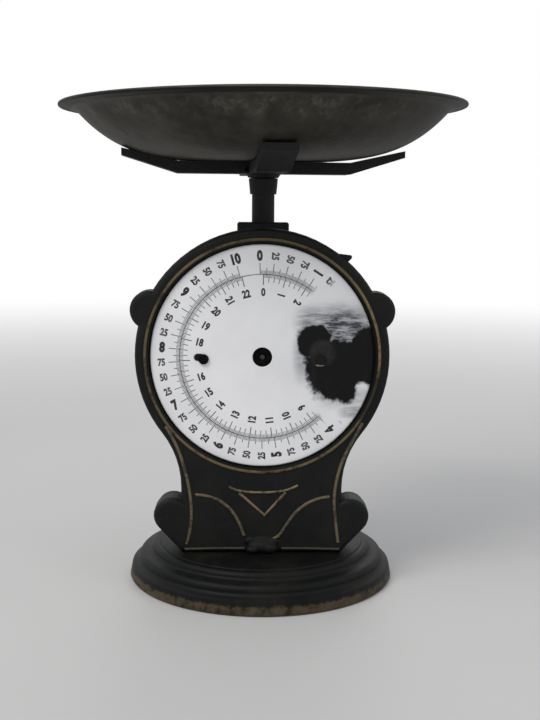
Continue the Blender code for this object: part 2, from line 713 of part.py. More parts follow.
def housing_rear():
    """Rear casting: a deep shell with a rounded back, ears, hanger bosses and a floor."""
    outer = keyhole(REAR_INSET, HOUSING_FOOT)
    drafted = offset_outline(outer, REAR_DRAFT)
    drafted = [(x, max(z, HOUSING_FOOT)) for x, z in drafted]
    layers = [(REAR_FRONT_Y + SINK, outer), (REAR_Y - REAR_EDGE_ROUND, drafted)]
    for step in range(1, EDGE_STEPS + 1):
        turn = math.pi / 2 * step / EDGE_STEPS
        inset = REAR_EDGE_ROUND * (1 - math.cos(turn))
        ring = [(x, max(z, HOUSING_FOOT)) for x, z in offset_outline(drafted, inset)]
        layers.append((REAR_Y - REAR_EDGE_ROUND * (1 - math.sin(turn)), ring))
    piece = layered("housing_rear", layers)
    ear_back = REAR_FRONT_Y + REAR_EAR_THICKNESS
    flange = eared_keyhole(REAR_INSET / 2, HOUSING_FOOT)
    join(piece, prism("flange", flange, ear_back, REAR_FRONT_Y))
    cavity = keyhole(REAR_INSET + CASTING_WALL, HOUSING_FOOT + FLOOR_THICKNESS)
    small = offset_outline(cavity, REAR_DRAFT)
    small = [(x, max(z, HOUSING_FOOT + FLOOR_THICKNESS)) for x, z in small]
    wall = REAR_Y - CASTING_WALL
    cut(piece, layered("cavity", [(REAR_FRONT_Y - OVERRUN, cavity), (REAR_FRONT_Y, cavity), (wall, small)]))
    bosses = []
    holes = []
    for side in (-1, 1):
        x = side * HANGER_SCREW_SPREAD
        roof = DIAL_HEIGHT + math.sqrt(ROOF_INNER**2 - x**2) + CASTING_WALL / 2
        low = HANGER_TOP + SEAT_GAP
        boss = rod_profile(HANGER_BOSS_RADIUS, low, roof)
        bosses.append(turned("boss", boss, SMALL_STEPS, place=Matrix.Translation((x, 0, 0))))
        top = DIAL_HEIGHT + RING_RADIUS
        holes.append(hole(HANGER_SCREW_RADIUS + SEAT_GAP, (x, 0, low - OVERRUN), (x, 0, top + OVERRUN)))
        sunk = hanger_head_height(x)
        holes.append(hole(HANGER_SCREW_HEAD + SEAT_GAP, (x, 0, sunk - SEAT_GAP), (x, 0, top + OVERRUN)))
        x = side * BLOCK_SCREW_SPREAD
        roof = DIAL_HEIGHT + math.sqrt(ROOF_OUTER**2 - x**2)
        end = roof - BLOCK_SCREW_REACH - SEAT_GAP
        holes.append(hole(SMALL_SCREW_RADIUS + SEAT_GAP, (x, 0, end), (x, 0, top + OVERRUN)))
        x, z = side * GUIDE_SCREW_SPREAD, guide_screw_height()
        end = wall + GUIDE_SCREW_BITE + SEAT_GAP
        holes.append(hole(SMALL_SCREW_RADIUS + SEAT_GAP, (x, wall - OVERRUN, z), (x, end, z)))
    join(piece, *bosses)
    front, back = REAR_FRONT_Y - OVERRUN, ear_back + OVERRUN
    holes += [hole(HOUSING_SCREW_RADIUS + SEAT_GAP, (x, front, z), (x, back, z)) for x, z in EAR_PLACES]
    low, high = HOUSING_FOOT - OVERRUN, HOUSING_FOOT + FLOOR_THICKNESS + OVERRUN
    holes += [hole(FOOT_SCREW_RADIUS + SEAT_GAP, (x, y, low), (x, y, high)) for x, y in FOOT_SCREW_PLACES]
    low, high = DIAL_HEIGHT + ROOF_INNER - OVERRUN, DIAL_HEIGHT + ROOF_OUTER + OVERRUN
    holes.append(hole(POST_RADIUS + BLOCK_EDGE, (0, 0, low), (0, 0, high)))
    cut(piece, *holes)
    dress(piece, "iron")


def hanger_head_height(x):
    """Height of the sunk seat of a hanger screw's head in the curved roof."""
    outer = abs(x) + HANGER_SCREW_HEAD
    return DIAL_HEIGHT + math.sqrt(ROOF_OUTER**2 - outer**2) - SMALL_SCREW_HEAD_HEIGHT


def guide_screw_height():
    """Height of the screws in the upright flange of the lower guide."""
    return GUIDE_TOP + GUIDE_FLANGE_RISE / 2


def housing_screws():
    """Four screws through the rear ears into the front casting."""
    ear_back = REAR_FRONT_Y + REAR_EAR_THICKNESS + SEAT_GAP
    length = ear_back - PARTING_Y + HOUSING_SCREW_REACH
    screws = [
        screw(
            "housing_screw",
            HOUSING_SCREW_RADIUS,
            length,
            HOUSING_SCREW_HEAD,
            HOUSING_SCREW_HEAD_HEIGHT,
            toward((0, -1, 0), (x, ear_back, z)),
        )
        for x, z in EAR_PLACES
    ]
    numbered("housing_screw", screws, "steel")


def bezel_catch():
    """Small bent strip on the edge of the ring."""
    radius = RING_RADIUS + SEAT_GAP
    span = CATCH_LENGTH / radius
    start = math.pi / 2 - CATCH_ANGLE + span / 2
    lower = []
    upper = []
    for step in range(EDGE_STEPS * 2 + 1):
        share = step / (EDGE_STEPS * 2)
        turn = start - span * share
        lift = CATCH_LIFT * share**3
        for side, height in ((lower, lift), (upper, lift + CATCH_THICKNESS * (1 - share / 2))):
            reach = radius + height
            side.append((reach * math.cos(turn), DIAL_HEIGHT + reach * math.sin(turn)))
    front = FRONT_Y + FRONT_EDGE_ROUND + CATCH_FRONT_INSET
    prism("bezel_catch", lower + upper[::-1], front + CATCH_WIDTH, front, "iron")


def dial():
    """Domed enamelled plate with a centre hole and two screw holes."""
    edge = -SEAT_DEPTH + SEAT_GAP
    radii = [DIAL_RADIUS * step / EDGE_STEPS for step in range(EDGE_STEPS + 1)]
    under = [(radius, edge + DIAL_CROWN * (1 - (radius / DIAL_RADIUS) ** 2)) for radius in radii]
    over = [(radius, height + DIAL_THICKNESS) for radius, height in reversed(under)]
    face_on = Matrix.Translation((0, FRONT_Y, DIAL_HEIGHT)) @ Matrix.Rotation(math.pi / 2, 4, "X")
    piece = turned("dial", under + over, ROUND_STEPS, place=face_on)
    holes = [hole(DIAL_CENTRE_HOLE, (0, FRONT_Y - OVERRUN, DIAL_HEIGHT), (0, SEAT_Y, DIAL_HEIGHT))]
    for side in (-1, 1):
        x, z = side * DIAL_SCREW_SPREAD, DIAL_HEIGHT - DIAL_SCREW_DROP
        holes.append(hole(DIAL_SCREW_HOLE, (x, FRONT_Y - OVERRUN, z), (x, SEAT_Y, z)))
    cut(piece, *holes)
    dress(piece, "enamel")


def dial_front_at(radius):
    """Y of the dial's front face at a radius."""
    rise = DIAL_CROWN * (1 - (radius / DIAL_RADIUS) ** 2)
    return SEAT_Y - SEAT_GAP - rise - DIAL_THICKNESS


def dial_screws():
    """Two screws that hold the dial on its seat."""
    under_head = dial_front_at(DIAL_SCREW_SPREAD - DIAL_SCREW_HEAD) - SEAT_GAP
    screws = []
    for side in (-1, 1):
        place = (side * DIAL_SCREW_SPREAD, under_head, DIAL_HEIGHT - DIAL_SCREW_DROP)
        screws.append(
            screw(
                "dial_screw",
                DIAL_SCREW_RADIUS,
                FACE_BACK_Y - under_head,
                DIAL_SCREW_HEAD,
                DIAL_SCREW_HEAD_HEIGHT,
                toward((0, 1, 0), place),
            )
        )
    numbered("dial_screw", screws, "steel")


def arbor_bushes():
    """Flanged front bush in the face and a plain rear bush in the bridge."""
    flange = SEAT_Y - SEAT_GAP
    front = [
        (BUSH_BORE, flange - BUSH_WALL_REACH),
        (BUSH_FLANGE_RADIUS, flange - BUSH_WALL_REACH),
        (BUSH_FLANGE_RADIUS, flange),
        (BUSH_RADIUS, flange),
        (BUSH_RADIUS, FACE_BACK_Y),
        (BUSH_BORE, FACE_BACK_Y),
    ]
    rear = [
        (REAR_BUSH_BORE, BRIDGE_FRONT_Y),
        (REAR_BUSH_RADIUS, BRIDGE_FRONT_Y),
        (REAR_BUSH_RADIUS, BRIDGE_BACK_Y),
        (REAR_BUSH_BORE, BRIDGE_BACK_Y),
    ]
    place = along_y(0, DIAL_HEIGHT)
    solids = [turned("bush", profile, SMALL_STEPS, place=place) for profile in (front, rear)]
    numbered("arbor_bush", solids, "brass")


def tooth_half_angle(radius):
    """Half the angle that a pinion tooth takes up at a radius."""
    base = PITCH_RADIUS * math.cos(PRESSURE_ANGLE)
    half_pitch_angle = (math.pi * GEAR_MODULE / 2 - BACKLASH) / 2 / PITCH_RADIUS
    involute_pitch = math.tan(PRESSURE_ANGLE) - PRESSURE_ANGLE
    if radius <= base:
        return half_pitch_angle + involute_pitch
    turn = math.acos(base / radius)
    return half_pitch_angle + involute_pitch - (math.tan(turn) - turn)


def pinion_outline():
    """Involute teeth, with one tooth pointing along the first axis."""
    root = PITCH_RADIUS - GEAR_MODULE * GEAR_DEDENDUM_SHARE
    tip = PITCH_RADIUS + GEAR_MODULE * PINION_ADDENDUM_SHARE
    base = PITCH_RADIUS * math.cos(PRESSURE_ANGLE)
    radii = [root, base] + [base + (tip - base) * step / EDGE_STEPS for step in range(1, EDGE_STEPS + 1)]
    points = []
    for tooth in range(PINION_TEETH):
        middle = math.tau * tooth / PINION_TEETH
        rising = [(radius, middle - tooth_half_angle(radius)) for radius in radii]
        falling = [(radius, middle + tooth_half_angle(radius)) for radius in reversed(radii)]
        points += [(radius * math.cos(turn), radius * math.sin(turn)) for radius, turn in rising + falling]
    return points


def pointer_arbor():
    """Arbor with a cut pinion; its bare nose once carried a pointer."""
    profile = [
        (0, ARBOR_FRONT_Y),
        (ARBOR_NOSE_RADIUS, ARBOR_FRONT_Y),
        (ARBOR_RADIUS, ARBOR_FRONT_Y + ARBOR_NOSE_LENGTH),
        (ARBOR_RADIUS, PINION_FRONT_Y + SINK),
        (ARBOR_PIVOT_RADIUS, PINION_BACK_Y - SINK),
        (ARBOR_PIVOT_RADIUS, ARBOR_BACK_Y),
        (0, ARBOR_BACK_Y),
    ]
    piece = turned("pointer_arbor", profile, SMALL_STEPS, place=along_y(0, DIAL_HEIGHT))
    teeth = [(x, DIAL_HEIGHT + z) for x, z in pinion_outline()]
    join(piece, prism("teeth", teeth, PINION_BACK_Y, PINION_FRONT_Y))
    dress(piece, "steel")
    keep_origin(piece, (0, 0, DIAL_HEIGHT))


def rack():
    """Toothed bar beside the arbor, with a tooth space level with it."""
    tip = PITCH_RADIUS - GEAR_MODULE * RACK_ADDENDUM_SHARE
    half = (TOOTH_PITCH / 2 - BACKLASH) / 2
    lean = math.tan(PRESSURE_ANGLE)
    wide = half + (RACK_ROOT - PITCH_RADIUS) * lean
    narrow = half - (PITCH_RADIUS - tip) * lean
    low = DIAL_HEIGHT - TOOTH_PITCH * RACK_TEETH_BELOW
    outline = [(RACK_OUTER, low), (RACK_ROOT, low)]
    for tooth in range(-RACK_TEETH_BELOW, RACK_TEETH_ABOVE):
        middle = DIAL_HEIGHT + TOOTH_PITCH * (tooth + 1 / 2)
        outline += [(RACK_ROOT, middle - wide), (tip, middle - narrow)]
        outline += [(tip, middle + narrow), (RACK_ROOT, middle + wide)]
    outline += [(RACK_ROOT, BRACKET_TOP), (RACK_OUTER, BRACKET_TOP)]
    piece = prism("rack", outline, RACK_FRONT_Y + RACK_WIDTH, RACK_FRONT_Y)
    left, right = RACK_ROOT - OVERRUN, RACK_OUTER + OVERRUN
    bore = SMALL_SCREW_RADIUS + SEAT_GAP
    cut(piece, *[hole(bore, (left, y, z), (right, y, z)) for y, z in rack_screw_places()])
    dress(piece, "steel", smooth=False)


def rack_screw_places():
    """The two screws that hold the rack on its bracket."""
    y = RACK_FRONT_Y + RACK_WIDTH / 2
    return [(y, BRACKET_TOP - BRACKET_SCREW_INSET), (y, BRACKET_LOW + BRACKET_SCREW_INSET)]


def rack_bracket():
    """Clamp on the post with an arm that reaches forward beside the rack."""
    piece = block(
        "rack_bracket",
        (-BRACKET_HALF_WIDTH, -BRACKET_HALF_WIDTH, BRACKET_LOW),
        (BRACKET_ARM_OUTER, BRACKET_HALF_WIDTH, BRACKET_TOP),
    )
    arm = block("arm", (BRACKET_ARM_INNER, RACK_FRONT_Y, BRACKET_LOW), (BRACKET_ARM_OUTER, 0, BRACKET_TOP))
    join(piece, arm)
    tools = [hole(POST_RADIUS + SEAT_GAP, (0, 0, BRACKET_LOW - OVERRUN), (0, 0, BRACKET_TOP + OVERRUN))]
    left, right = BRACKET_ARM_INNER - SEAT_GAP, BRACKET_ARM_OUTER + OVERRUN
    bore = SMALL_SCREW_RADIUS + SEAT_GAP
    tools += [hole(bore, (left, y, z), (right, y, z)) for y, z in rack_screw_places()]
    cut(piece, *tools)
    dress(piece, "iron", smooth=False)


def rack_screws():
    """Two screws through the bracket's arm into the rack."""
    length = BRACKET_ARM_THICKNESS + RACK_BACK
    screws = [
        screw(
            "rack_screw",
            SMALL_SCREW_RADIUS,
            length,
            SMALL_SCREW_HEAD,
            SMALL_SCREW_HEAD_HEIGHT,
            toward((-1, 0, 0), (BRACKET_ARM_OUTER + SEAT_GAP, y, z)),
        )
        for y, z in rack_screw_places()
    ]
    numbered("rack_screw", screws, "steel")


def bearing_bridge():
    """Strap behind the dial that carries the arbor's rear bush."""
    end = (BRIDGE_HALF_LENGTH - BRIDGE_HALF_HEIGHT, DIAL_HEIGHT)
    right = arc(end, BRIDGE_HALF_HEIGHT, -math.pi / 2, math.pi / 2, SMALL_STEPS // 2)
    piece = prism("bearing_bridge", right + mirrored(right), BRIDGE_BACK_Y, BRIDGE_FRONT_Y)
    bores = [(0, REAR_BUSH_RADIUS), (-BRIDGE_SPREAD, SMALL_SCREW_RADIUS), (BRIDGE_SPREAD, SMALL_SCREW_RADIUS)]
    front, back = BRIDGE_FRONT_Y - OVERRUN, BRIDGE_BACK_Y + OVERRUN
    tools = [hole(radius + SEAT_GAP, (x, front, DIAL_HEIGHT), (x, back, DIAL_HEIGHT)) for x, radius in bores]
    cut(piece, *tools)
    dress(piece, "brass", smooth=False)


def bridge_pillars():
    """Two hollow pillars between the face and the bridge."""
    near = FACE_BACK_Y + SEAT_GAP
    far = BRIDGE_FRONT_Y - SEAT_GAP
    bore = SMALL_SCREW_RADIUS + SEAT_GAP
    profile = [(bore, near), (PILLAR_RADIUS, near), (PILLAR_RADIUS, far), (bore, far)]
    places = [along_y(side * BRIDGE_SPREAD, DIAL_HEIGHT) for side in (-1, 1)]
    pillars = [turned("pillar", profile, SMALL_STEPS, place=place) for place in places]
    numbered("bridge_pillar", pillars, "brass")


def bridge_screws():
    """Two long screws through the bridge and its pillars into the face."""
    under_head = BRIDGE_BACK_Y + SEAT_GAP
    length = under_head - FACE_BACK_Y + BRIDGE_SCREW_BITE
    screws = [
        screw(
            "bridge_screw",
            SMALL_SCREW_RADIUS,
            length,
            SMALL_SCREW_HEAD,
            SMALL_SCREW_HEAD_HEIGHT,
            toward((0, -1, 0), (side * BRIDGE_SPREAD, under_head, DIAL_HEIGHT)),
        )
        for side in (-1, 1)
    ]
    numbered("bridge_screw", screws, "steel")


def post():
    """Turned post with a collar, a stud for the pan support and a long spindle below."""
    shoulder = CROSSHEAD_TOP + SEAT_GAP
    profile = [
        (0, SPINDLE_BOTTOM),
        (SPINDLE_RADIUS - POST_EDGE, SPINDLE_BOTTOM),
        (SPINDLE_RADIUS, SPINDLE_BOTTOM + POST_EDGE),
        (SPINDLE_RADIUS, shoulder),
        (POST_RADIUS, shoulder),
        (POST_RADIUS, COLLAR_BOTTOM),
        (COLLAR_RADIUS - COLLAR_TAPER, COLLAR_BOTTOM),
        (COLLAR_RADIUS, COLLAR_TOP - POST_EDGE),
        (COLLAR_RADIUS - POST_EDGE, COLLAR_TOP),
        (STUD_RADIUS, COLLAR_TOP),
        (STUD_RADIUS, COLLAR_TOP + STUD_LENGTH),
        (0, COLLAR_TOP + STUD_LENGTH),
    ]
    piece = turned("post", profile, MEDIUM_STEPS)
    cut(piece, pin_hole(PIN_RADIUS + SEAT_GAP))
    dress(piece, "iron")
    keep_origin(piece, (0, 0, COLLAR_BOTTOM))


def pin_hole(radius):
    """Cutter for the pin that crosses the hub between two arms."""
    turn = SUPPORT_TURN + math.pi / 4
    way = Vector((math.cos(turn), math.sin(turn), 0)) * (PIN_HALF_LENGTH + OVERRUN)
    middle = Vector((0, 0, PIN_HEIGHT))
    return hole(radius, middle - way, middle + way)


def support_pin():
    """Pin that holds the pan support on the post."""
    turn = SUPPORT_TURN + math.pi / 4
    way = Vector((math.cos(turn), math.sin(turn), 0))
    profile = rod_profile(PIN_RADIUS, -PIN_HALF_LENGTH, PIN_HALF_LENGTH)
    turned("support_pin", profile, SMALL_STEPS, "steel", toward(way, (0, 0, PIN_HEIGHT)))


def pan_underside(radius):
    """Height of the pan's underside at a radius."""
    return PAN_BOTTOM + PAN_DEPTH * (radius / PAN_BOWL_RADIUS) ** PAN_CURVE_SHARE


def arm_tip_top():
    """Top of the arms' tips: from its bend, each arm rises as steeply as the pan over it allows."""
    run = ARM_REACH - ARM_FLAT_REACH
    steps = [run * step / SMALL_STEPS for step in range(1, SMALL_STEPS + 1)]
    slopes = [(pan_underside(ARM_FLAT_REACH + step) - SEAT_GAP - ARM_TOP) / step for step in steps]
    return ARM_TOP + run * min(slopes)


def pan_support():
    """Cross of four arms, flat in the middle and bent up towards the tips."""
    tip_top = arm_tip_top()
    tip_underside = tip_top - ARM_TIP_THICKNESS
    side = [
        (-ARM_REACH, tip_underside),
        (-ARM_FLAT_REACH, ARM_UNDERSIDE),
        (ARM_FLAT_REACH, ARM_UNDERSIDE),
        (ARM_REACH, tip_underside),
        (ARM_REACH, tip_top),
        (ARM_FLAT_REACH, ARM_TOP),
        (-ARM_FLAT_REACH, ARM_TOP),
        (-ARM_REACH, tip_top),
    ]
    piece = prism("pan_support", side, ARM_HALF_WIDTH, -ARM_HALF_WIDTH)
    other = prism("arms", side, ARM_HALF_WIDTH, -ARM_HALF_WIDTH)
    other.data.transform(Matrix.Rotation(math.pi / 2, 4, "Z"))
    hub = [
        (0, HUB_BOTTOM),
        (HUB_RADIUS - (ARM_UNDERSIDE - HUB_BOTTOM), HUB_BOTTOM),
        (HUB_RADIUS, ARM_UNDERSIDE + ARM_EDGE),
        (HUB_RADIUS, ARM_TOP - ARM_EDGE),
        (0, ARM_TOP - ARM_EDGE),
    ]
    join(piece, other, turned("hub", hub, MEDIUM_STEPS))
    piece.data.transform(Matrix.Rotation(SUPPORT_TURN, 4, "Z"))
    top = COLLAR_TOP + STUD_LENGTH + SEAT_GAP
    cut(piece, hole(STUD_RADIUS + SEAT_GAP, (0, 0, HUB_BOTTOM - OVERRUN), (0, 0, top)))
    cut(piece, pin_hole(PIN_RADIUS + SEAT_GAP))
    dress(piece, "iron", smooth=False)


def pan():
    """Shallow loose bowl with a rim turned outwards and a beaded edge."""
    steps = EDGE_STEPS * 3
    outer = []
    for step in range(steps + 1):
        radius = PAN_BOWL_RADIUS * step / steps
        outer.append((radius, pan_underside(radius)))
    outer.append((PAN_RIM_RADIUS - PAN_BEAD_RADIUS, PAN_BOTTOM + PAN_DEPTH + PAN_RIM_RISE))
    inner = []
    for i, (radius, height) in enumerate(outer):
        before = outer[max(i - 1, 0)]
        after = outer[min(i + 1, len(outer) - 1)]
        way = Vector((after[0] - before[0], after[1] - before[1])).normalized()
        if i == 0:
            way = Vector((1, 0))
        inner.append((radius - way.y * PAN_THICKNESS, height + way.x * PAN_THICKNESS))
    bead_centre = (PAN_RIM_RADIUS, (outer[-1][1] + inner[-1][1]) / 2)
    bead = arc(bead_centre, PAN_BEAD_RADIUS, -PAN_BEAD_ARC, PAN_BEAD_ARC, EDGE_STEPS + 1)
    piece = turned("pan", outer[:-1] + bead + inner[-2::-1], ROUND_STEPS, "sheet")
    keep_origin(piece, (0, 0, PAN_BOTTOM))


def guide_block():
    """Block on the curved roof with the bore that guides the post."""
    low = DIAL_HEIGHT + math.sqrt(ROOF_OUTER**2 - BLOCK_HALF_WIDTH**2) - OVERRUN
    piece = block(
        "guide_block",
        (-BLOCK_HALF_WIDTH, -BLOCK_HALF_DEPTH, low),
        (BLOCK_HALF_WIDTH, BLOCK_HALF_DEPTH, BLOCK_TOP),
        edge=BLOCK_EDGE,
    )
    roof = rod_profile(ROOF_OUTER + SEAT_GAP, -BLOCK_HALF_DEPTH - OVERRUN, BLOCK_HALF_DEPTH + OVERRUN)
    cut(piece, turned("roof", roof, ROUND_STEPS * 2, place=along_y(0, DIAL_HEIGHT)))
    tools = [hole(POST_RADIUS + BLOCK_BORE_GAP, (0, 0, low - OVERRUN), (0, 0, BLOCK_TOP + OVERRUN))]
    for side in (-1, 1):
        x = side * BLOCK_SCREW_SPREAD
        tools.append(hole(SMALL_SCREW_RADIUS + SEAT_GAP, (x, 0, low - OVERRUN), (x, 0, BLOCK_TOP + OVERRUN)))
        sunk = BLOCK_TOP - SMALL_SCREW_HEAD_HEIGHT - SEAT_GAP
        tools.append(hole(SMALL_SCREW_HEAD + SEAT_GAP, (x, 0, sunk), (x, 0, BLOCK_TOP + OVERRUN)))
    cut(piece, *tools)
    dress(piece, "iron", smooth=False)


def guide_screws():
    """Two screws that hold the guide block on the roof."""
    under_head = BLOCK_TOP - SMALL_SCREW_HEAD_HEIGHT
    screws = []
    for side in (-1, 1):
        x = side * BLOCK_SCREW_SPREAD
        roof = DIAL_HEIGHT + math.sqrt(ROOF_OUTER**2 - x**2)
        screws.append(
            screw(
                "guide_screw",
                SMALL_SCREW_RADIUS,
                under_head - roof + BLOCK_SCREW_REACH,
                SMALL_SCREW_HEAD,
                SMALL_SCREW_HEAD_HEIGHT,
                toward((0, 0, -1), (x, 0, under_head)),
            )
        )
    numbered("guide_screw", screws, "steel")


def spring_hanger():
    """Bar under the roof that both springs hang from; the post passes its eye."""
    piece = block(
        "spring_hanger",
        (-HANGER_HALF_LENGTH, -HANGER_HALF_WIDTH, HANGER_UNDERSIDE),
        (HANGER_HALF_LENGTH, HANGER_HALF_WIDTH, HANGER_TOP),
    )
    join(piece, turned("eye", rod_profile(HANGER_EYE_RADIUS, HANGER_UNDERSIDE, HANGER_TOP), MEDIUM_STEPS))
    low, high = HANGER_UNDERSIDE - OVERRUN, HANGER_TOP + OVERRUN
    tools = [hole(HANGER_BORE, (0, 0, low), (0, 0, high))]
    for side in (-1, 1):
        x = side * HANGER_SCREW_SPREAD
        end = HANGER_TOP - HANGER_SCREW_HOLD - SEAT_GAP
        tools.append(hole(HANGER_SCREW_RADIUS + SEAT_GAP, (x, 0, end), (x, 0, high)))
        x = side * SPRING_SPREAD
        tools.append(hole(SPRING_WIRE + SEAT_GAP, (x, 0, low), (x, 0, high)))
    cut(piece, *tools)
    dress(piece, "iron", smooth=False)


def hanger_screws():
    """Two screws from the roof that carry the hanger and set the zero."""
    screws = []
    for side in (-1, 1):
        x = side * HANGER_SCREW_SPREAD
        under_head = hanger_head_height(x)
        low = HANGER_TOP - HANGER_SCREW_HOLD
        screws.append(
            screw(
                "hanger_screw",
                HANGER_SCREW_RADIUS,
                under_head - low,
                HANGER_SCREW_HEAD,
                SMALL_SCREW_HEAD_HEIGHT,
                toward((0, 0, -1), (x, 0, under_head)),
            )
        )
    numbered("hanger_screw", screws, "steel")


def spring_route():
    """Points down one extension spring, with a smooth crossover and a straight shank at each end."""
    top = HANGER_UNDERSIDE + SHANK_HOLD
    bottom = CROSSHEAD_TOP - SHANK_HOLD
    hook = SPRING_RADIUS
    high = HANGER_UNDERSIDE - SPRING_END - hook
    low = high - SPRING_BODY
    half = POINTS_PER_TURN // 2
    points = [Vector((0, 0, top)), Vector((0, 0, (top + high + hook) / 2))]
    for step in range(half + 1):
        share = step / half
        reach = SPRING_RADIUS * (1 - math.cos(share * math.pi / 2))
        turn = math.pi * (share - 1)
        drop = hook * math.sin(share * math.pi / 2)
        points.append(Vector((reach * math.cos(turn), reach * math.sin(turn), high + hook - drop)))
    for step in range(1, SPRING_TURNS * POINTS_PER_TURN):
        turn = math.tau * step / POINTS_PER_TURN
        height = high - SPRING_PITCH * step / POINTS_PER_TURN
        points.append(Vector((SPRING_RADIUS * math.cos(turn), SPRING_RADIUS * math.sin(turn), height)))
    for step in range(half + 1):
        share = 1 - step / half
        reach = SPRING_RADIUS * (1 - math.cos(share * math.pi / 2))
        turn = math.pi * (1 - share)
        drop = hook * (1 - math.sin(share * math.pi / 2))
        points.append(Vector((reach * math.cos(turn), reach * math.sin(turn), low - drop)))
    points += [Vector((0, 0, (bottom + low - hook) / 2)), Vector((0, 0, bottom))]
    return points


def least_gap(points, thickness, apart):
    """Least gap between stretches of a tube that are not next to each other along it."""
    along = [0]
    for a, b in zip(points, points[1:]):
        along.append(along[-1] + (b - a).length)
    least = math.inf
    for i, a in enumerate(points):
        for j in range(i + 1, len(points)):
            if along[j] - along[i] > apart:
                least = min(least, (points[j] - a).length - thickness)
    return least


def springs():
    """Left and right load springs."""
    route = spring_route()
    gap = least_gap(route, SPRING_WIRE * 2, SPRING_RADIUS * math.pi)
    print("least gap between the coils of a load spring, mm:", round(gap * METRES_TO_MM, 2))
    for side, name in ((-1, "spring_left"), (1, "spring_right")):
        curve = bpy.data.curves.new(name, "CURVE")
        curve.dimensions = "3D"
        line = curve.splines.new("POLY")
        line.points.add(len(route) - 1)
        for point, place in zip(line.points, route):
            point.co = (side * SPRING_SPREAD + place.x, place.y, place.z, 1)
        curve.bevel_depth = SPRING_WIRE
        curve.bevel_resolution = 1
        curve.render_resolution_u = 0
        curve.use_fill_caps = True
        thing = bpy.data.objects.new(name, curve)
        bpy.context.scene.collection.objects.link(thing)
        curve.materials.append(finish_material(name, *FINISHES["steel"]))


def crosshead():
    """Bar on the spindle that both springs pull up against the post's shoulder."""
    outline = [
        (-CROSSHEAD_HALF_LENGTH, CROSSHEAD_TOP),
        (-CROSSHEAD_HALF_LENGTH, CROSSHEAD_BOTTOM + CROSSHEAD_END_RISE),
        (-CROSSHEAD_MIDDLE, CROSSHEAD_BOTTOM),
        (CROSSHEAD_MIDDLE, CROSSHEAD_BOTTOM),
        (CROSSHEAD_HALF_LENGTH, CROSSHEAD_BOTTOM + CROSSHEAD_END_RISE),
        (CROSSHEAD_HALF_LENGTH, CROSSHEAD_TOP),
    ]
    piece = prism("crosshead", outline, CROSSHEAD_HALF_WIDTH, -CROSSHEAD_HALF_WIDTH)
    low, high = CROSSHEAD_BOTTOM - OVERRUN, CROSSHEAD_TOP + OVERRUN
    bores = [(0, SPINDLE_RADIUS), (-SPRING_SPREAD, SPRING_WIRE), (SPRING_SPREAD, SPRING_WIRE)]
    cut(piece, *[hole(radius + SEAT_GAP, (x, 0, low), (x, 0, high)) for x, radius in bores])
    dress(piece, "iron", smooth=False)


def crosshead_nut():
    """Hexagon nut that holds the crosshead against the post's shoulder."""
    piece = turned("crosshead_nut", rod_profile(NUT_RADIUS, NUT_BOTTOM, NUT_TOP), NUT_SIDES)
    cut(piece, hole(SPINDLE_RADIUS + SEAT_GAP, (0, 0, NUT_BOTTOM - OVERRUN), (0, 0, NUT_TOP + OVERRUN)))
    dress(piece, "steel", smooth=False)


def lower_guide():
    """Angle bracket on the back wall whose eye steadies the spindle."""
    wall = REAR_Y - CASTING_WALL - SEAT_GAP
    half = GUIDE_HALF_WIDTH
    piece = block("lower_guide", (-half, -GUIDE_REACH, GUIDE_LOW), (half, wall, GUIDE_TOP))
    flange_top = GUIDE_TOP + GUIDE_FLANGE_RISE
    join(piece, block("flange", (-half, wall - GUIDE_THICKNESS, GUIDE_LOW), (half, wall, flange_top)))
    tools = [hole(SPINDLE_RADIUS + RUNNING_GAP, (0, 0, GUIDE_LOW - OVERRUN), (0, 0, GUIDE_TOP + OVERRUN))]
    z = guide_screw_height()
    front, back = wall - GUIDE_THICKNESS - OVERRUN, wall + OVERRUN
    for x in (-GUIDE_SCREW_SPREAD, GUIDE_SCREW_SPREAD):
        tools.append(hole(SMALL_SCREW_RADIUS + SEAT_GAP, (x, front, z), (x, back, z)))
    cut(piece, *tools)
    dress(piece, "iron", smooth=False)


def lower_guide_screws():
    """Two screws that hold the lower guide on the back wall."""
    wall = REAR_Y - CASTING_WALL
    under_head = wall - GUIDE_THICKNESS - SEAT_GAP * 2
    screws = [
        screw(
            "lower_guide_screw",
            SMALL_SCREW_RADIUS,
            wall + GUIDE_SCREW_BITE - under_head,
            SMALL_SCREW_HEAD,
            SMALL_SCREW_HEAD_HEIGHT,
            toward((0, 1, 0), (side * GUIDE_SCREW_SPREAD, under_head, guide_screw_height())),
        )
        for side in (-1, 1)
    ]
    numbered("lower_guide_screw", screws, "steel")


clear_scene()
foot()
foot_screws()
housing_front()
housing_rear()
housing_screws()
bezel_catch()
dial()
dial_screws()
arbor_bushes()
pointer_arbor()
rack()
rack_bracket()
rack_screws()
bearing_bridge()
bridge_pillars()
bridge_screws()
post()
support_pin()
pan_support()
pan()
guide_block()
guide_screws()
spring_hanger()
hanger_screws()
springs()
crosshead()
crosshead_nut()
lower_guide()
lower_guide_screws()
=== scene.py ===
"""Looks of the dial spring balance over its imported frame: finishes, floor, light and camera."""

import math

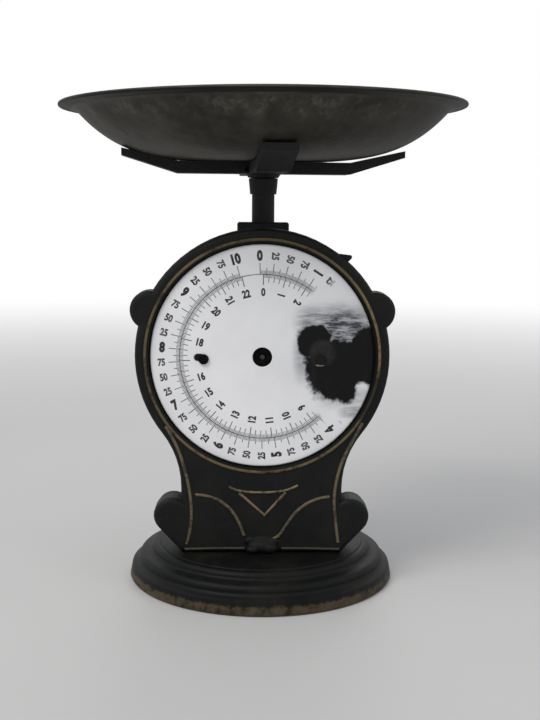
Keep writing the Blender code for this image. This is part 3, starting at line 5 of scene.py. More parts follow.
import bpy
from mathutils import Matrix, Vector


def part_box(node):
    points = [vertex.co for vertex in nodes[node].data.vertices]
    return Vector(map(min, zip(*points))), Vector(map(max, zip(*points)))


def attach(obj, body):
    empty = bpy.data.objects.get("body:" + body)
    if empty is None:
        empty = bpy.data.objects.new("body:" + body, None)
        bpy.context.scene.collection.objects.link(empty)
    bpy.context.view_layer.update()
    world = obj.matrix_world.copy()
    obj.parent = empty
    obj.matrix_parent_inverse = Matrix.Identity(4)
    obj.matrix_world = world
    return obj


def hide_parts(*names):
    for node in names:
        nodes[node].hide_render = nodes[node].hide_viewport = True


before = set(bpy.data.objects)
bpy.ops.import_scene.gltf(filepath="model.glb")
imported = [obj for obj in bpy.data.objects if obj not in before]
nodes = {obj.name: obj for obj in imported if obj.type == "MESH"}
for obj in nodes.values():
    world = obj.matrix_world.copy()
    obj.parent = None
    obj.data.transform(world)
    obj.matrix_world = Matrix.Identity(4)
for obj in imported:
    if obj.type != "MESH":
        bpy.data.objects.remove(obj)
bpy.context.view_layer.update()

# Foot
# A round cast-iron foot in black paint, turned with two round steps over a plain band and hollow below.
# The paint is rubbed off along the steps and has worn to brown metal round the band that meets the table.


def start():
    """Leaves edit mode with nothing selected, so that the next operator acts on its own piece alone."""
    if bpy.context.mode != "OBJECT":
        bpy.ops.object.mode_set(mode="OBJECT")
    bpy.ops.object.select_all(action="DESELECT")


def close(name, smooth=math.radians(35)):
    """Ends the work on the active piece: names it, rounds its shading and leaves it at the origin."""
    if bpy.context.mode != "OBJECT":
        bpy.ops.object.mode_set(mode="OBJECT")
    bpy.ops.object.transform_apply(location=True, rotation=True, scale=True)
    bpy.ops.object.shade_smooth_by_angle(angle=smooth)
    piece = bpy.context.object
    piece.name = name
    piece.data.name = name
    return piece


def turn(profile, steps, upright=True, middle=(0, 0, 0), bored=False):
    """A disc or ring drawn out through a profile's (radius, place on the axis) pairs, left in edit mode."""
    start()
    radius, place = profile[0]
    along = Vector((0, 0, 1)) if upright else Vector((0, 1, 0))
    bpy.ops.mesh.primitive_circle_add(
        vertices=steps,
        radius=radius,
        fill_type="NOTHING" if bored else "NGON",
        location=Vector(middle) + along * place,
        rotation=(0, 0, 0) if upright else (math.pi / 2, 0, 0),
    )
    bpy.ops.object.mode_set(mode="EDIT")
    for wide, far in profile[1:]:
        shift = along * (far - place)
        if bored:
            bpy.ops.mesh.extrude_edges_move(TRANSFORM_OT_translate={"value": shift})
        else:
            bpy.ops.mesh.extrude_region_move(TRANSFORM_OT_translate={"value": shift})
        grow = wide / radius
        bpy.ops.transform.resize(
            value=(grow, grow, 1) if upright else (grow, 1, grow),
            center_override=Vector(middle) + along * far,
        )
        radius, place = wide, far
    if bored:
        bpy.ops.mesh.select_all(action="SELECT")
        bpy.ops.mesh.remove_doubles(threshold=0.000001)
    bpy.ops.mesh.select_all(action="SELECT")
    bpy.ops.mesh.normals_make_consistent(inside=False)


def bow(centre, radius, first, last, steps):
    """Points of an arc, with angles in degrees from the outward direction."""
    turns = [math.radians(first + (last - first) * i / steps) for i in range(steps + 1)]
    return [(centre[0] + radius * math.cos(a), centre[1] + radius * math.sin(a)) for a in turns]


class Shade:
    """One socket of a material, on which sums and comparisons add their Math nodes."""

    def __init__(self, tree, socket=None):
        self.tree = tree
        self.socket = socket

    def node(self, kind, settings=None, values=None, output=0):
        """Adds a node with its settings and the values or links of its sockets, and gives one output."""
        made = self.tree.nodes.new(kind)
        for key, value in (settings or {}).items():
            setattr(made, key, value)
        for key, value in (values or {}).items():
            if isinstance(value, Shade):
                self.tree.links.new(value.socket, made.inputs[key])
            else:
                made.inputs[key].default_value = value
        return Shade(self.tree, made.outputs[output])

    def maths(self, operation, first, second=0.0):
        return self.node("ShaderNodeMath", {"operation": operation}, {0: first, 1: second})

    def __add__(self, other):
        return self.maths("ADD", self, other)

    def __radd__(self, other):
        return self.maths("ADD", other, self)

    def __sub__(self, other):
        return self.maths("SUBTRACT", self, other)

    def __rsub__(self, other):
        return self.maths("SUBTRACT", other, self)

    def __mul__(self, other):
        return self.maths("MULTIPLY", self, other)

    def __rmul__(self, other):
        return self.maths("MULTIPLY", other, self)

    def __truediv__(self, other):
        return self.maths("DIVIDE", self, other)

    def __rtruediv__(self, other):
        return self.maths("DIVIDE", other, self)

    def __pow__(self, other):
        return self.maths("POWER", self, other)

    def __abs__(self):
        return self.maths("ABSOLUTE", self)

    def rise(self, low, high):
        """0 below low and 1 above high, with a soft step between them."""
        return self.node(
            "ShaderNodeMapRange",
            {"interpolation_type": "SMOOTHSTEP"},
            {"Value": self, "From Min": low, "From Max": high},
        )

    def least(self, other):
        return self.maths("MINIMUM", self, other)

    def most(self, other):
        return self.maths("MAXIMUM", self, other)


def painted(name):
    """A new material: itself, a Shade to start its fields from, and its shader."""
    material = bpy.data.materials.new(name)
    material.use_nodes = True
    return material, Shade(material.node_tree), material.node_tree.nodes["Principled BSDF"]


def feed(shader, values):
    """Sets or links sockets of a shader."""
    for key, value in values.items():
        if isinstance(value, Shade):
            value.tree.links.new(value.socket, shader.inputs[key])
        else:
            shader.inputs[key].default_value = value


def places(shade):
    """Object coordinates as a vector and as three numbers."""
    vector = shade.node("ShaderNodeTexCoord", output="Object")
    return [vector] + [shade.node("ShaderNodeSeparateXYZ", None, {0: vector}, axis) for axis in "XYZ"]


def grain(vector, scale, detail=3.0, rough=0.55):
    """Noise over a vector field, from 0 to 1, with about scale spots to the metre."""
    values = {"Vector": vector, "Scale": scale, "Detail": detail, "Roughness": rough}
    return vector.node("ShaderNodeTexNoise", None, values)


MIX_SHARE, MIX_FIRST, MIX_SECOND, MIX_RESULT = 0, 6, 7, 2


def blend(amount, first, second):
    """A mix of two colours, each a Shade or four numbers, by the sockets of a Mix node set to colours."""
    values = {MIX_SHARE: amount, MIX_FIRST: first, MIX_SECOND: second}
    return amount.node("ShaderNodeMix", {"data_type": "RGBA"}, values, MIX_RESULT)


def bump(height, strength, depth):
    """A Bump node over a height field."""
    return height.node("ShaderNodeBump", None, {"Height": height, "Strength": strength, "Distance": depth})


BLACK_PAINT = (0.0026, 0.0032, 0.0030, 1)
OLIVE_PAINT = (0.0080, 0.0088, 0.0062, 1)
BARE_BROWN = (0.0720, 0.0540, 0.0300, 1)
DULL_GILT = (0.2100, 0.1480, 0.0680, 1)


def black_iron(name, rubbed=None, gilded=None, gloss=0.40, shine=0.20):
    """Old black paint on cast iron with olive patches, brown where it is rubbed and gilt where gilded."""
    material, shade, shader = painted(name)
    vector, x, y, z = places(shade)
    cloud = grain(vector, 38, 4, 0.6)
    sand = grain(vector, 620, 3, 0.6)
    speck = grain(vector, 1500, 2, 0.5)
    colour = blend(cloud.rise(0.42, 0.72), BLACK_PAINT, OLIVE_PAINT)
    rough = gloss + cloud * 0.22 + sand * 0.10
    if rubbed:
        chips = (grain(vector, 150, 5, 0.7) - 0.62) * 2.2
        worn = (rubbed(x, y, z) * 1.25 + chips).rise(0.15, 0.95)
        colour = blend(worn, colour, BARE_BROWN)
        rough = rough + worn * 0.06
    if gilded:
        patchy = (grain(vector, 60, 4, 0.65) * 1.5 + grain(vector, 420, 3, 0.6)).rise(0.80, 1.30)
        colour = blend(gilded(x, y, z) * patchy, colour, DULL_GILT)
    feed(
        shader,
        {
            "Base Color": colour,
            "Roughness": rough,
            "Metallic": 0.0,
            "Specular IOR Level": shine,
            "Normal": bump(sand + speck * 0.35 + cloud * 0.8, 0.55, 0.0004),
        },
    )
    return material


def wear(piece, material):
    """Gives a piece, or the carried-over node of that name, one material all over."""
    if isinstance(piece, str):
        piece = nodes[piece]
    piece.data.materials.clear()
    piece.data.materials.append(material)
    for face in piece.data.polygons:
        face.material_index = 0


ROUND_STEPS = 192
foot_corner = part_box("foot")[1]
FOOT_RADIUS = round(foot_corner.x, 4)
FOOT_HEIGHT = round(foot_corner.z, 4)
STEP_CREST = 0.0172

hollow = [(0.0605, 0.0190), (0.0690, 0.0190), (0.0828, 0.0080), (0.0840, 0.0004), (0.0844, 0.0)]
band = [(0.0921, 0.0), (0.0930, 0.0004), (FOOT_RADIUS, 0.0013), (0.0922, 0.0082), (0.0918, 0.0094)]
band += [(0.0908, 0.0101), (0.0892, 0.0107), (0.0878, 0.0115), (0.0869, 0.0126)]
lower_step = bow((0.0826, 0.0140), 0.0042, -8, 64, 12)
lower_step += [(0.0831, 0.0181), (0.0812, 0.0184), (0.0795, 0.0188), (0.0784, 0.0194)]
upper_step = bow((0.0740, 0.0202), 0.0038, 0, 80, 12)
upper_step += [(0.0727, 0.0240), (0.0724, 0.0246), (0.0715, FOOT_HEIGHT), (0.0300, FOOT_HEIGHT)]
turn(hollow + band + lower_step + upper_step, ROUND_STEPS)
foot = close("cast_foot")


def foot_rubs(x, y, z):
    """Where the foot is rubbed: its band, most at the lower edge, and the crest of the lower step."""
    face = 1 - z.rise(0.0048, 0.0090)
    edge = 1 - z.rise(0.0006, 0.0034)
    crest = 1 - abs(z - STEP_CREST).rise(0.0006, 0.0026)
    right = x.rise(0.030, 0.090) * (1 - z.rise(0.0080, 0.0110))
    return (face * 0.72).most(edge * 0.92).most(crest * 0.26).most(right * 0.42)


wear(foot, black_iron("foot_iron_look", foot_rubs, gloss=0.34, shine=0.13))
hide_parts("foot")
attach(foot, "stand")

# Housing castings
# Two black cast-iron shells in the shape of a keyhole, screwed together through four round ears from behind.
# The front one has a raised round bead about the dial, painted with dull gold that has worn thin.

dial_low, dial_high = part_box("dial")
DIAL_HEIGHT = round((dial_low.z + dial_high.z) / 2, 4)
BEAD_RADIUS = 0.0789
BEAD_FRONT = -0.0386
SEAM_PLANE = -0.0216
LEFT_EAR_X = -0.070
LEFT_EAR_HEIGHT = 0.050


def away(first, second):
    """Distance from the place where both coordinates are 0."""
    return (first * first + second * second) ** 0.5


def round_bead(x, y, z):
    """The raised bead about the dial, as far as its gold reaches, brightest on the right."""
    bead = 1 - abs(away(x, z - DIAL_HEIGHT) - BEAD_RADIUS).rise(0.0006, 0.0012)
    front = 1 - y.rise(BEAD_FRONT, BEAD_FRONT + 0.0004)
    bare_right = x.rise(0.050, 0.064) * (1 - abs(z - 0.1330).rise(0.012, 0.020))
    bare_top = z.rise(0.2200, 0.2400) * 0.35
    bare_left = (1 - x.rise(-0.070, -0.050)) * 0.30
    bare = bare_right.most(bare_top).most(bare_left)
    return bead * front * (0.68 + x.rise(0.055, 0.070) * 0.30) * (1 - bare * 0.85)


def front_rubs(x, y, z):
    """Where the front casting is rubbed: its lower left ear and its lowest edge."""
    ear = 1 - away(x - LEFT_EAR_X, z - LEFT_EAR_HEIGHT).rise(0.006, 0.014)
    foot_edge = 1 - z.rise(0.0255, 0.0275)
    return ear * 0.22 + foot_edge * 0.5


wear("housing_front", black_iron("front_iron_look", front_rubs, round_bead))


def rear_rubs(x, y, z):
    """Where the rear casting is rubbed: along the seam, round the edge of its back and at its foot."""
    seam = 1 - abs(y - SEAM_PLANE).rise(0.0004, 0.0014)
    ring_edge = away(x, z - DIAL_HEIGHT).rise(0.0815, 0.0850) * z.rise(0.095, 0.125)
    back = y.rise(0.0312, 0.0334) * ring_edge
    foot_edge = 1 - z.rise(0.0255, 0.0280)
    return (seam * 0.30).most(back * 0.36).most(foot_edge * 0.5)


wear("housing_rear", black_iron("rear_iron_look", rear_rubs, gloss=0.46))

# Dial
# A round sheet-iron plate in white enamel, slightly domed, with a hole for the pointer's arbor in the middle
# and a screw on each side. The enamel on the right has burnt off in one big ragged black patch.

DIAL_EDGE = round(dial_high.x, 4)
DIAL_FRONT = -0.0379
DIAL_DOME = 0.0022
DIAL_PLATE = 0.0014
DIAL_RINGS = 24
HOLE_RADIUS = 0.0066
SCREW_HOLE = 0.0026


def dial_face(radius):
    """Place of the dial's front surface along the arbor at a radius."""
    return DIAL_FRONT + DIAL_DOME * (radius / DIAL_EDGE) ** 2


hole_lip = HOLE_RADIUS + 0.0003
flat_end = DIAL_EDGE - 0.0010
rings = [hole_lip + (flat_end - hole_lip) * i / DIAL_RINGS for i in range(1, DIAL_RINGS + 1)]
dial_profile = [(HOLE_RADIUS, DIAL_FRONT + DIAL_PLATE), (HOLE_RADIUS, DIAL_FRONT + 0.0003)]
dial_profile += [(hole_lip, DIAL_FRONT)]
dial_profile += [(radius, dial_face(radius)) for radius in rings]
dial_profile += [(DIAL_EDGE - 0.0004, dial_face(DIAL_EDGE - 0.0004) + 0.0001)]
dial_profile += [(DIAL_EDGE, dial_face(DIAL_EDGE) + 0.0005), (DIAL_EDGE, dial_face(DIAL_EDGE) + 0.0012)]
dial_profile += [(HOLE_RADIUS, DIAL_FRONT + DIAL_PLATE)]
turn(dial_profile, ROUND_STEPS, upright=False, middle=(0, 0, DIAL_HEIGHT), bored=True)
dial = close("enamel_dial")
for screw in ("dial_screw_1", "dial_screw_2"):
    screw_low, screw_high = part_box(screw)
    right = round((screw_low.x + screw_high.x) / 2, 4)
    up = round((screw_low.z + screw_high.z) / 2, 4)
    start()
    bpy.ops.mesh.primitive_cylinder_add(
        vertices=32,
        radius=SCREW_HOLE,
        depth=0.02,
        location=(right, DIAL_FRONT, up),
        rotation=(math.pi / 2, 0, 0),
    )
    drill = bpy.context.object
    start()
    dial.select_set(True)
    bpy.context.view_layer.objects.active = dial
    bpy.ops.object.modifier_add(type="BOOLEAN")
    dial.modifiers[-1].object = drill
    bpy.ops.object.modifier_apply(modifier=dial.modifiers[-1].name)
    bpy.data.objects.remove(drill)

# Each oval on the enamel is its middle, right and up from the arbor, and half its width and height.
PATCH = (
    (0.0525, -0.0090, 0.0222, 0.0205),
    (0.0350, 0.0112, 0.0112, 0.0108),
    (0.0690, 0.0020, 0.0095, 0.0190),
)
WHITE_ISLAND = (0.0690, -0.0255, 0.0065, 0.0085)
GREY_MARGIN = (0.0280, 0.0020, 0.0090, 0.0230)
SCREW_CHIP = (-0.0425, -0.0006, 0.0034, 0.0026)
SCREW_DISH = (0.0405, 0.0028, 0.0100, 0.0100)
# A painted highlight: a thin light streak just below the right screw hole, standing for a glint on the iron.
PAINTED_GLINT = (0.0388, -0.0054, 0.0036, 0.0008)
OVAL_CURVE = 2.3

# Each smear is an oval and how dark it is.
SMEARS = (
    ((0.0530, 0.0200, 0.0280, 0.0180), 1.1),
    ((0.0350, 0.0240, 0.0150, 0.0130), 0.75),
    ((0.0610, -0.0370, 0.0110, 0.0060), 0.60),
    ((0.0560, -0.0270, 0.0210, 0.0100), 0.45),
)

WHITE_ENAMEL = (0.870, 0.870, 0.878, 1)
GREYER_ENAMEL = (0.800, 0.800, 0.810, 1)
SOOT = (0.048, 0.056, 0.074, 1)
BURNT_IRON = (0.0010, 0.0012, 0.0014, 1)
SCALED_IRON = (0.0085, 0.0080, 0.0078, 1)
DISHED_IRON = (0.0240, 0.0215, 0.0210, 1)
# Light grey of the painted glint below the right screw hole.
PAINTED_GLINT_GREY = (0.300, 0.300, 0.300, 1)


def reach_from(x, z, spot):
    """0 in the middle of an oval spot on the dial and 1 at its edge."""
    middle_x, middle_z, wide, high = spot
    across = abs((x - middle_x) / wide)
    up = abs((z - DIAL_HEIGHT - middle_z) / high)
    return (across**OVAL_CURVE + up**OVAL_CURVE) ** (1 / OVAL_CURVE)


def burnt(x, z, vector):
    """Below 1 where the enamel is burnt off, with a ragged edge, and above 1 outside."""
    ragged = (grain(vector, 60, 4, 0.60) - 0.5) * 0.50 + (grain(vector, 240, 3, 0.5) - 0.5) * 0.30
    near = reach_from(x, z, SCREW_CHIP)
    for spot in PATCH:
        near = near.least(reach_from(x, z, spot))
    near = near.most(1.6 - reach_from(x, z, WHITE_ISLAND) * 0.6)
    return near + ragged


def stretched(vector, scale, turned=(0, 0, 0)):
    """A vector field drawn out along an axis, so that noise over it runs in streaks."""
    return vector.node("ShaderNodeMapping", None, {"Vector": vector, "Rotation": turned, "Scale": scale})


material, shade, shader = painted("enamel_look")
vector, x, y, z = places(shade)
edge = burnt(x, z, vector)
burn = 1 - edge.rise(0.93, 1.05)
streaks = grain(stretched(vector, (0.22, 1.0, 1.0), (0, 0.25, 0)), 330, 5, 0.72).rise(0.34, 0.62)
smear = (1 - edge.rise(0.96, 1.22)) * 0.85
for spot, dark in SMEARS:
    soot = (1 - reach_from(x, z, spot).rise(0.20, 1.20)) * dark
    smear = smear.most(soot * (streaks * 0.60 + 0.44))
smear = smear.most((1 - reach_from(x, z, GREY_MARGIN).rise(0.30, 1.10)) * (0.42 + streaks * 0.12))
cloud = grain(vector, 22, 3, 0.5)
enamel = blend(cloud.rise(0.35, 0.70), WHITE_ENAMEL, GREYER_ENAMEL)
enamel = blend(smear, enamel, SOOT)
dish = 1 - reach_from(x, z, SCREW_DISH).rise(0.70, 1.05)
painted_glint = 1 - reach_from(x, z, PAINTED_GLINT).rise(0.4, 1.0)
scale_marks = grain(stretched(vector, (1.0, 1.0, 0.25)), 130, 4, 0.6).rise(0.50, 0.80)
iron = blend(scale_marks, BURNT_IRON, SCALED_IRON)
iron = blend(dish * (grain(vector, 120, 4, 0.6).rise(0.25, 0.70) * 0.75 + 0.2), iron, DISHED_IRON)
# Paints the glint in as a light highlight streak on the bare iron.
iron = blend(painted_glint, iron, PAINTED_GLINT_GREY)
feed(
    shader,
    {
        "Base Color": blend(burn, enamel, iron),
        "Roughness": 0.20 + burn * 0.34 + grain(vector, 200, 3, 0.5) * 0.06,
        "Specular IOR Level": 0.2,
        "Normal": bump((1 - burn) + grain(vector, 500, 3, 0.6) * burn * 0.5 + cloud * 0.3, 0.6, 0.0003),
    },
)
wear(dial, material)
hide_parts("dial")
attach(dial, "stand")

# Print of the dial
# Two plain scales fired into the enamel in black: an outer one of 0 to 10 with quarters, and an inner one of
# 0 to 22, whose 17 is worn off. Their ticks stand back to back on one thin circle.

# Each scale is its last figure, the angle of its 0 clockwise from the top, and the angle between figures.
OUTER_SCALE = (10, -1.8, 34.6)
INNER_SCALE = (22, 0.45, 15.68)
WORN_OFF = 17
SCALE_CIRCLE = 0.0556
PRINT_PLANE = DIAL_FRONT - 0.004
PRINT_LIFT = 0.00006
FIGURE_WIDTH = 0.78
PALE_INK = (0.30, 0.31, 0.33, 1)
WASHED_MIDDLE = math.radians(87)
WASHED_EDGE = math.radians(3)


def figure(words, turned, radius, size, bold, tip):
    """One number at an angle clockwise from the top, its own top turned by tip from the outward direction."""
    angle = math.radians(turned)
    start()
    bpy.ops.object.text_add(
        location=(radius * math.sin(angle), PRINT_PLANE, DIAL_HEIGHT + radius * math.cos(angle)),
        rotation=(math.pi / 2, angle + math.radians(tip), 0),
    )
    text = bpy.context.object
    text.data.body = words
    text.data.align_x = "CENTER"
    text.data.align_y = "CENTER"
    text.data.size = size
    text.data.offset = bold
    text.data.resolution_u = 3
    text.scale = (FIGURE_WIDTH, 1, 1)
    bpy.ops.object.convert(target="MESH")
    return bpy.context.object


def ticks(scale, parts, inner, outer, wide):
    """A scale's ticks, parts to a figure, one drawn as a small plate and the rest turned about the arbor."""
    last, first, step = scale
    start()
    bpy.ops.mesh.primitive_plane_add(
        size=1,
        location=(0, PRINT_PLANE, DIAL_HEIGHT + (inner + outer) / 2),
        rotation=(math.pi / 2, 0, 0),
    )
    bpy.ops.transform.resize(value=(wide, 1, outer - inner))
    bpy.ops.object.mode_set(mode="EDIT")
    middle = Vector((0, DIAL_FRONT, DIAL_HEIGHT))
    bpy.ops.transform.rotate(value=math.radians(-first), orient_axis="Y", center_override=middle)
    bpy.ops.mesh.spin(
        steps=last * parts,
        dupli=True,
        angle=math.radians(step * last),
        center=middle,
        axis=(0, -1, 0),
    )
    bpy.ops.object.mode_set(mode="OBJECT")
    return bpy.context.object


def ring_line(radius, wide):
    """A thin flat circle round the arbor."""
    start()
    bpy.ops.mesh.primitive_circle_add(
        vertices=ROUND_STEPS,
        radius=radius - wide / 2,
        location=(0, PRINT_PLANE, DIAL_HEIGHT),
        rotation=(math.pi / 2, 0, 0),
    )
    bpy.ops.object.mode_set(mode="EDIT")
    bpy.ops.mesh.extrude_edges_move(TRANSFORM_OT_translate={"value": (0, 0, 0)})
    grow = (radius + wide / 2) / (radius - wide / 2)
    bpy.ops.transform.resize(value=(grow, 1, grow), center_override=(0, DIAL_FRONT, DIAL_HEIGHT))
    bpy.ops.object.mode_set(mode="OBJECT")
    return bpy.context.object


def join(parts):
    """Joins pieces into the first of them and leaves its place in its mesh."""
    start()
    for part in parts:
        part.select_set(True)
    bpy.context.view_layer.objects.active = parts[0]
    bpy.ops.object.join()
    bpy.ops.object.transform_apply(location=True, rotation=True, scale=True)


def on_dial(parts, name):
    """Joins flat pieces, lays them on the dial's dome and leaves them just clear of it."""
    join(parts)
    bpy.ops.object.modifier_add(type="SHRINKWRAP")
    wrap = bpy.context.object.modifiers[-1]
    wrap.target = dial
    wrap.wrap_method = "PROJECT"
    wrap.use_project_y = True
    wrap.use_project_z = False
    wrap.use_negative_direction = True
    wrap.use_positive_direction = True
    wrap.offset = PRINT_LIFT
    bpy.ops.object.modifier_apply(modifier=wrap.name)
    return close(name)


big = []
for scale, radius, size, bold in (
    (OUTER_SCALE, 0.0677, 0.0090, 0.00056),
    (INNER_SCALE, 0.0435, 0.0069, 0.00034),
):
    last, first, step = scale
    for i in range(last + 1):
        if i != WORN_OFF:
            tip = 0 if i in (0, last) else 90
            big.append(figure(str(i), first + step * i, radius, size, bold, tip))
small = []
last, first, step = OUTER_SCALE
for i in range(last * 4):
    if i % 4:
        words = str(25 * (i % 4))
        small.append(figure(words, first + step * i / 4, radius=0.0680, size=0.0066, bold=0.00030, tip=90))
fine = [
    ticks(OUTER_SCALE, 40, SCALE_CIRCLE, 0.0582, wide=0.00036),
    ticks(OUTER_SCALE, 8, SCALE_CIRCLE, 0.0600, wide=0.00044),
    ticks(OUTER_SCALE, 4, SCALE_CIRCLE, 0.0632, wide=0.00052),
    ticks(INNER_SCALE, 16, 0.0532, SCALE_CIRCLE, wide=0.00036),
    ticks(INNER_SCALE, 4, 0.0504, SCALE_CIRCLE, wide=0.00048),
    ticks(INNER_SCALE, 1, 0.0486, SCALE_CIRCLE, wide=0.00058),
    ring_line(SCALE_CIRCLE, wide=0.00050),
]
figures = on_dial(big, "dial_figures")
quarters = on_dial(small, "dial_quarters")
scale_lines = on_dial(fine, "dial_scale_lines")

# Each print's ink, how far it has faded, and half the angle over which it is washed off on the right.
for piece, ink, fade, washed in (
    (figures, 0.008, 0.10, math.radians(46)),
    (quarters, 0.018, 0.28, math.radians(45)),
    (scale_lines, 0.040, 0.40, math.radians(50)),
):
    material, shade, shader = painted(piece.name + "_look")
    vector, x, y, z = places(shade)
    worn = grain(vector, 240, 4, 0.65).rise(0.30, 0.75)
    round_turn = shade.maths("ARCTAN2", x, z - DIAL_HEIGHT) + (grain(vector, 90, 4, 0.6) - 0.5) * 0.16
    lost = 1 - abs(round_turn - WASHED_MIDDLE).rise(washed - WASHED_EDGE, washed + WASHED_EDGE)
    feed(
        shader,
        {
            "Base Color": blend(worn * fade, (ink, ink, ink * 1.08, 1), PALE_INK),
            "Roughness": 0.26 + worn * 0.08,
            "Alpha": burnt(x, z, vector).rise(0.98, 1.10) * (1 - worn * fade) * (1 - lost),
        },
    )
    wear(piece, material)
    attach(piece, "stand")

# Gilt relief
# Thin raised lines cast on the front below the dial: two long curves beside the neck, two arcs over the lower
# corners and a pointed shield between them. They once were all gold, and it stays along their crests.

FACE_PLANE = -0.0380
RELIEF_HEIGHT = 0.0009
WIDE_LINE = 0.0026
THIN_LINE = 0.0021
STRAIGHT_POINTS = 3
SHIELD_GOLD = 1.0
ARC_GOLD = 0.62
BOTTOM_GOLD = 0.12

# Each line's width, its share of gold, and its points in millimetres to the right and up.
relief_lines = {
    "gilt_line_left": (
        WIDE_LINE,
        ARC_GOLD,
        [(-66.5, 116.1), (-61.6, 107.5), (-56.6, 97.9), (-52.6, 85.2), (-49.6, 72.5), (-48.0, 60.9)]
        + [(-47.6, 49.1), (-49.1, 37.4), (-52.0, 28.4)],
    ),
    "gilt_line_right": (
        WIDE_LINE,
        ARC_GOLD,
        [(69.4, 119.1), (65.1, 110.3), (59.8, 100.6), (54.4, 89.4), (51.3, 77.8), (49.5, 65.0)]
        + [(50.2, 54.4), (51.6, 42.6), (53.4, 28.6)],
    ),
    "gilt_arc_left": (
        WIDE_LINE,
        ARC_GOLD,
        [(-47.6, 66.0), (-39.0, 65.8), (-28.9, 62.6), (-20.9, 56.3), (-15.8, 48.1), (-12.9, 40.8)]
        + [(-11.4, 36.0)],
    ),
    "gilt_arc_right": (
        WIDE_LINE,
        ARC_GOLD,
        [(49.3, 65.4), (40.2, 64.2), (31.2, 60.6), (23.4, 54.2), (18.3, 46.7), (14.6, 40.4)]
        + [(11.8, 36.6), (7.0, 34.4)],
    ),
    "gilt_shield_top": (
        THIN_LINE,
        SHIELD_GOLD,
        [(-23.7, 72.7), (-18.3, 69.4), (-9.7, 67.9), (2.8, 67.7), (14.1, 68.5), (20.8, 70.6), (26.7, 73.9)],
    ),
    "gilt_shield_point": (WIDE_LINE, SHIELD_GOLD, [(-15.2, 67.4), (2.2, 51.8), (16.6, 67.8)]),
    "bottom_line_left": (THIN_LINE, BOTTOM_GOLD, [(-52.5, 27.4), (-34.3, 27.9), (-11.1, 28.2)]),
    "bottom_line_right": (THIN_LINE, BOTTOM_GOLD, [(14.0, 28.2), (34.1, 28.2), (54.0, 27.9)]),
}


def edges_through(points, depth):
    """A chain of edges at a depth, through points in millimetres to the right and up, left in edit mode."""
    start()
    right, up = points[0]
    bpy.ops.mesh.primitive_plane_add(size=0.001, location=(right / 1000, depth, up / 1000))
    bpy.ops.object.mode_set(mode="EDIT")
    bpy.ops.mesh.merge(type="CENTER")
    for before, after in zip(points, points[1:]):
        shift = ((after[0] - before[0]) / 1000, 0, (after[1] - before[1]) / 1000)
        bpy.ops.mesh.extrude_vertices_move(TRANSFORM_OT_translate={"value": shift})


def relief(name, points, wide):
    """A rounded bar that follows points on the casting's face, smoothly where there are more than three."""
    edges_through(points, FACE_PLANE)
    if len(points) > STRAIGHT_POINTS:
        bpy.ops.mesh.select_all(action="SELECT")
        bpy.ops.mesh.subdivide(number_cuts=5)
        bpy.ops.mesh.vertices_smooth(factor=0.5, repeat=10)
    bpy.ops.object.mode_set(mode="OBJECT")
    bpy.ops.object.convert(target="CURVE")
    line = bpy.context.object
    line.data.bevel_depth = wide / 2
    line.data.bevel_resolution = 3
    line.data.use_fill_caps = True
    bpy.ops.object.convert(target="MESH")
    bpy.ops.object.mode_set(mode="EDIT")
    bpy.ops.mesh.select_all(action="SELECT")
    flat = 2 * RELIEF_HEIGHT / wide
    bpy.ops.transform.resize(value=(1, flat, 1), center_override=(0, FACE_PLANE, 0))
    return close(name, math.radians(60))


for name, (wide, gold, points) in relief_lines.items():
    line = relief(name, points, wide)
    material, shade, shader = painted(name + "_look")
    vector, x, y, z = places(shade)
    crest = 1 - y.rise(FACE_PLANE - 0.0008, FACE_PLANE - 0.0004)
    patchy = (grain(vector, 70, 4, 0.65) * 1.3 + grain(vector, 500, 3, 0.6)).rise(0.85, 1.30)
    kept = crest * patchy * gold
    feed(
        shader,
        {
            "Base Color": blend(kept, OLIVE_PAINT, DULL_GILT),
            "Roughness": 0.52 - kept * 0.10 + grain(vector, 300, 3, 0.6) * 0.12,
            "Metallic": kept * 0.30,
            "Normal": bump(grain(vector, 700, 3, 0.6), 0.5, 0.0003),
        },
    )
    wear(line, material)
    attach(line, "stand")

# Spur and lump
# A bent spur, taken for a catch of the lost glass rim, stands out like a thorn on the right shoulder. A rough
# lump of cast iron sits at the bottom of the front, where the two gilt arcs run out.

SPUR = [(49.4, 229.6), (51.4, 230.4), (55.0, 229.9), (59.3, 229.4)]
SPUR += [(59.4, 227.7), (57.2, 225.4), (52.4, 226.0)]
SPUR_BACK = -0.0290
SPUR_DEPTH = 0.0062
edges_through(SPUR, SPUR_BACK)
bpy.ops.mesh.select_all(action="SELECT")
bpy.ops.mesh.edge_face_add()
bpy.ops.mesh.extrude_region_move(TRANSFORM_OT_translate={"value": (0, -SPUR_DEPTH, 0)})
bpy.ops.mesh.select_all(action="SELECT")
bpy.ops.mesh.normals_make_consistent(inside=False)
bpy.ops.mesh.bevel(offset=0.0004, segments=2, affect="EDGES")
spur = close("bent_spur")
wear(spur, black_iron("spur_iron_look", gloss=0.5))
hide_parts("bezel_catch")
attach(spur, "stand")

# Each lobe of the lump is its middle and its half sizes.
LOBES = (
    ((0.0008, -0.0384, 0.0300), (0.0100, 0.0046, 0.0046)),
    ((-0.0060, -0.0400, 0.0282), (0.0046, 0.0040, 0.0030)),
    ((0.0056, -0.0398, 0.0290), (0.0056, 0.0038, 0.0038)),
    ((-0.0076, -0.0376, 0.0336), (0.0040, 0.0024, 0.0032)),
    ((0.0080, -0.0376, 0.0332), (0.0044, 0.0024, 0.0030)),
    ((0.0010, -0.0376, 0.0350), (0.0066, 0.0022, 0.0022)),
)
FIRST_SEED = 3
lobes = []
for seed, (middle, size) in enumerate(LOBES, FIRST_SEED):
    start()
    bpy.ops.mesh.primitive_ico_sphere_add(subdivisions=3, radius=1, location=middle)
    bpy.ops.transform.resize(value=size)
    bpy.ops.object.mode_set(mode="EDIT")
    bpy.ops.transform.vertex_random(offset=0.0006, seed=seed)
    bpy.ops.object.mode_set(mode="OBJECT")
    lobes.append(bpy.context.object)
join(lobes)
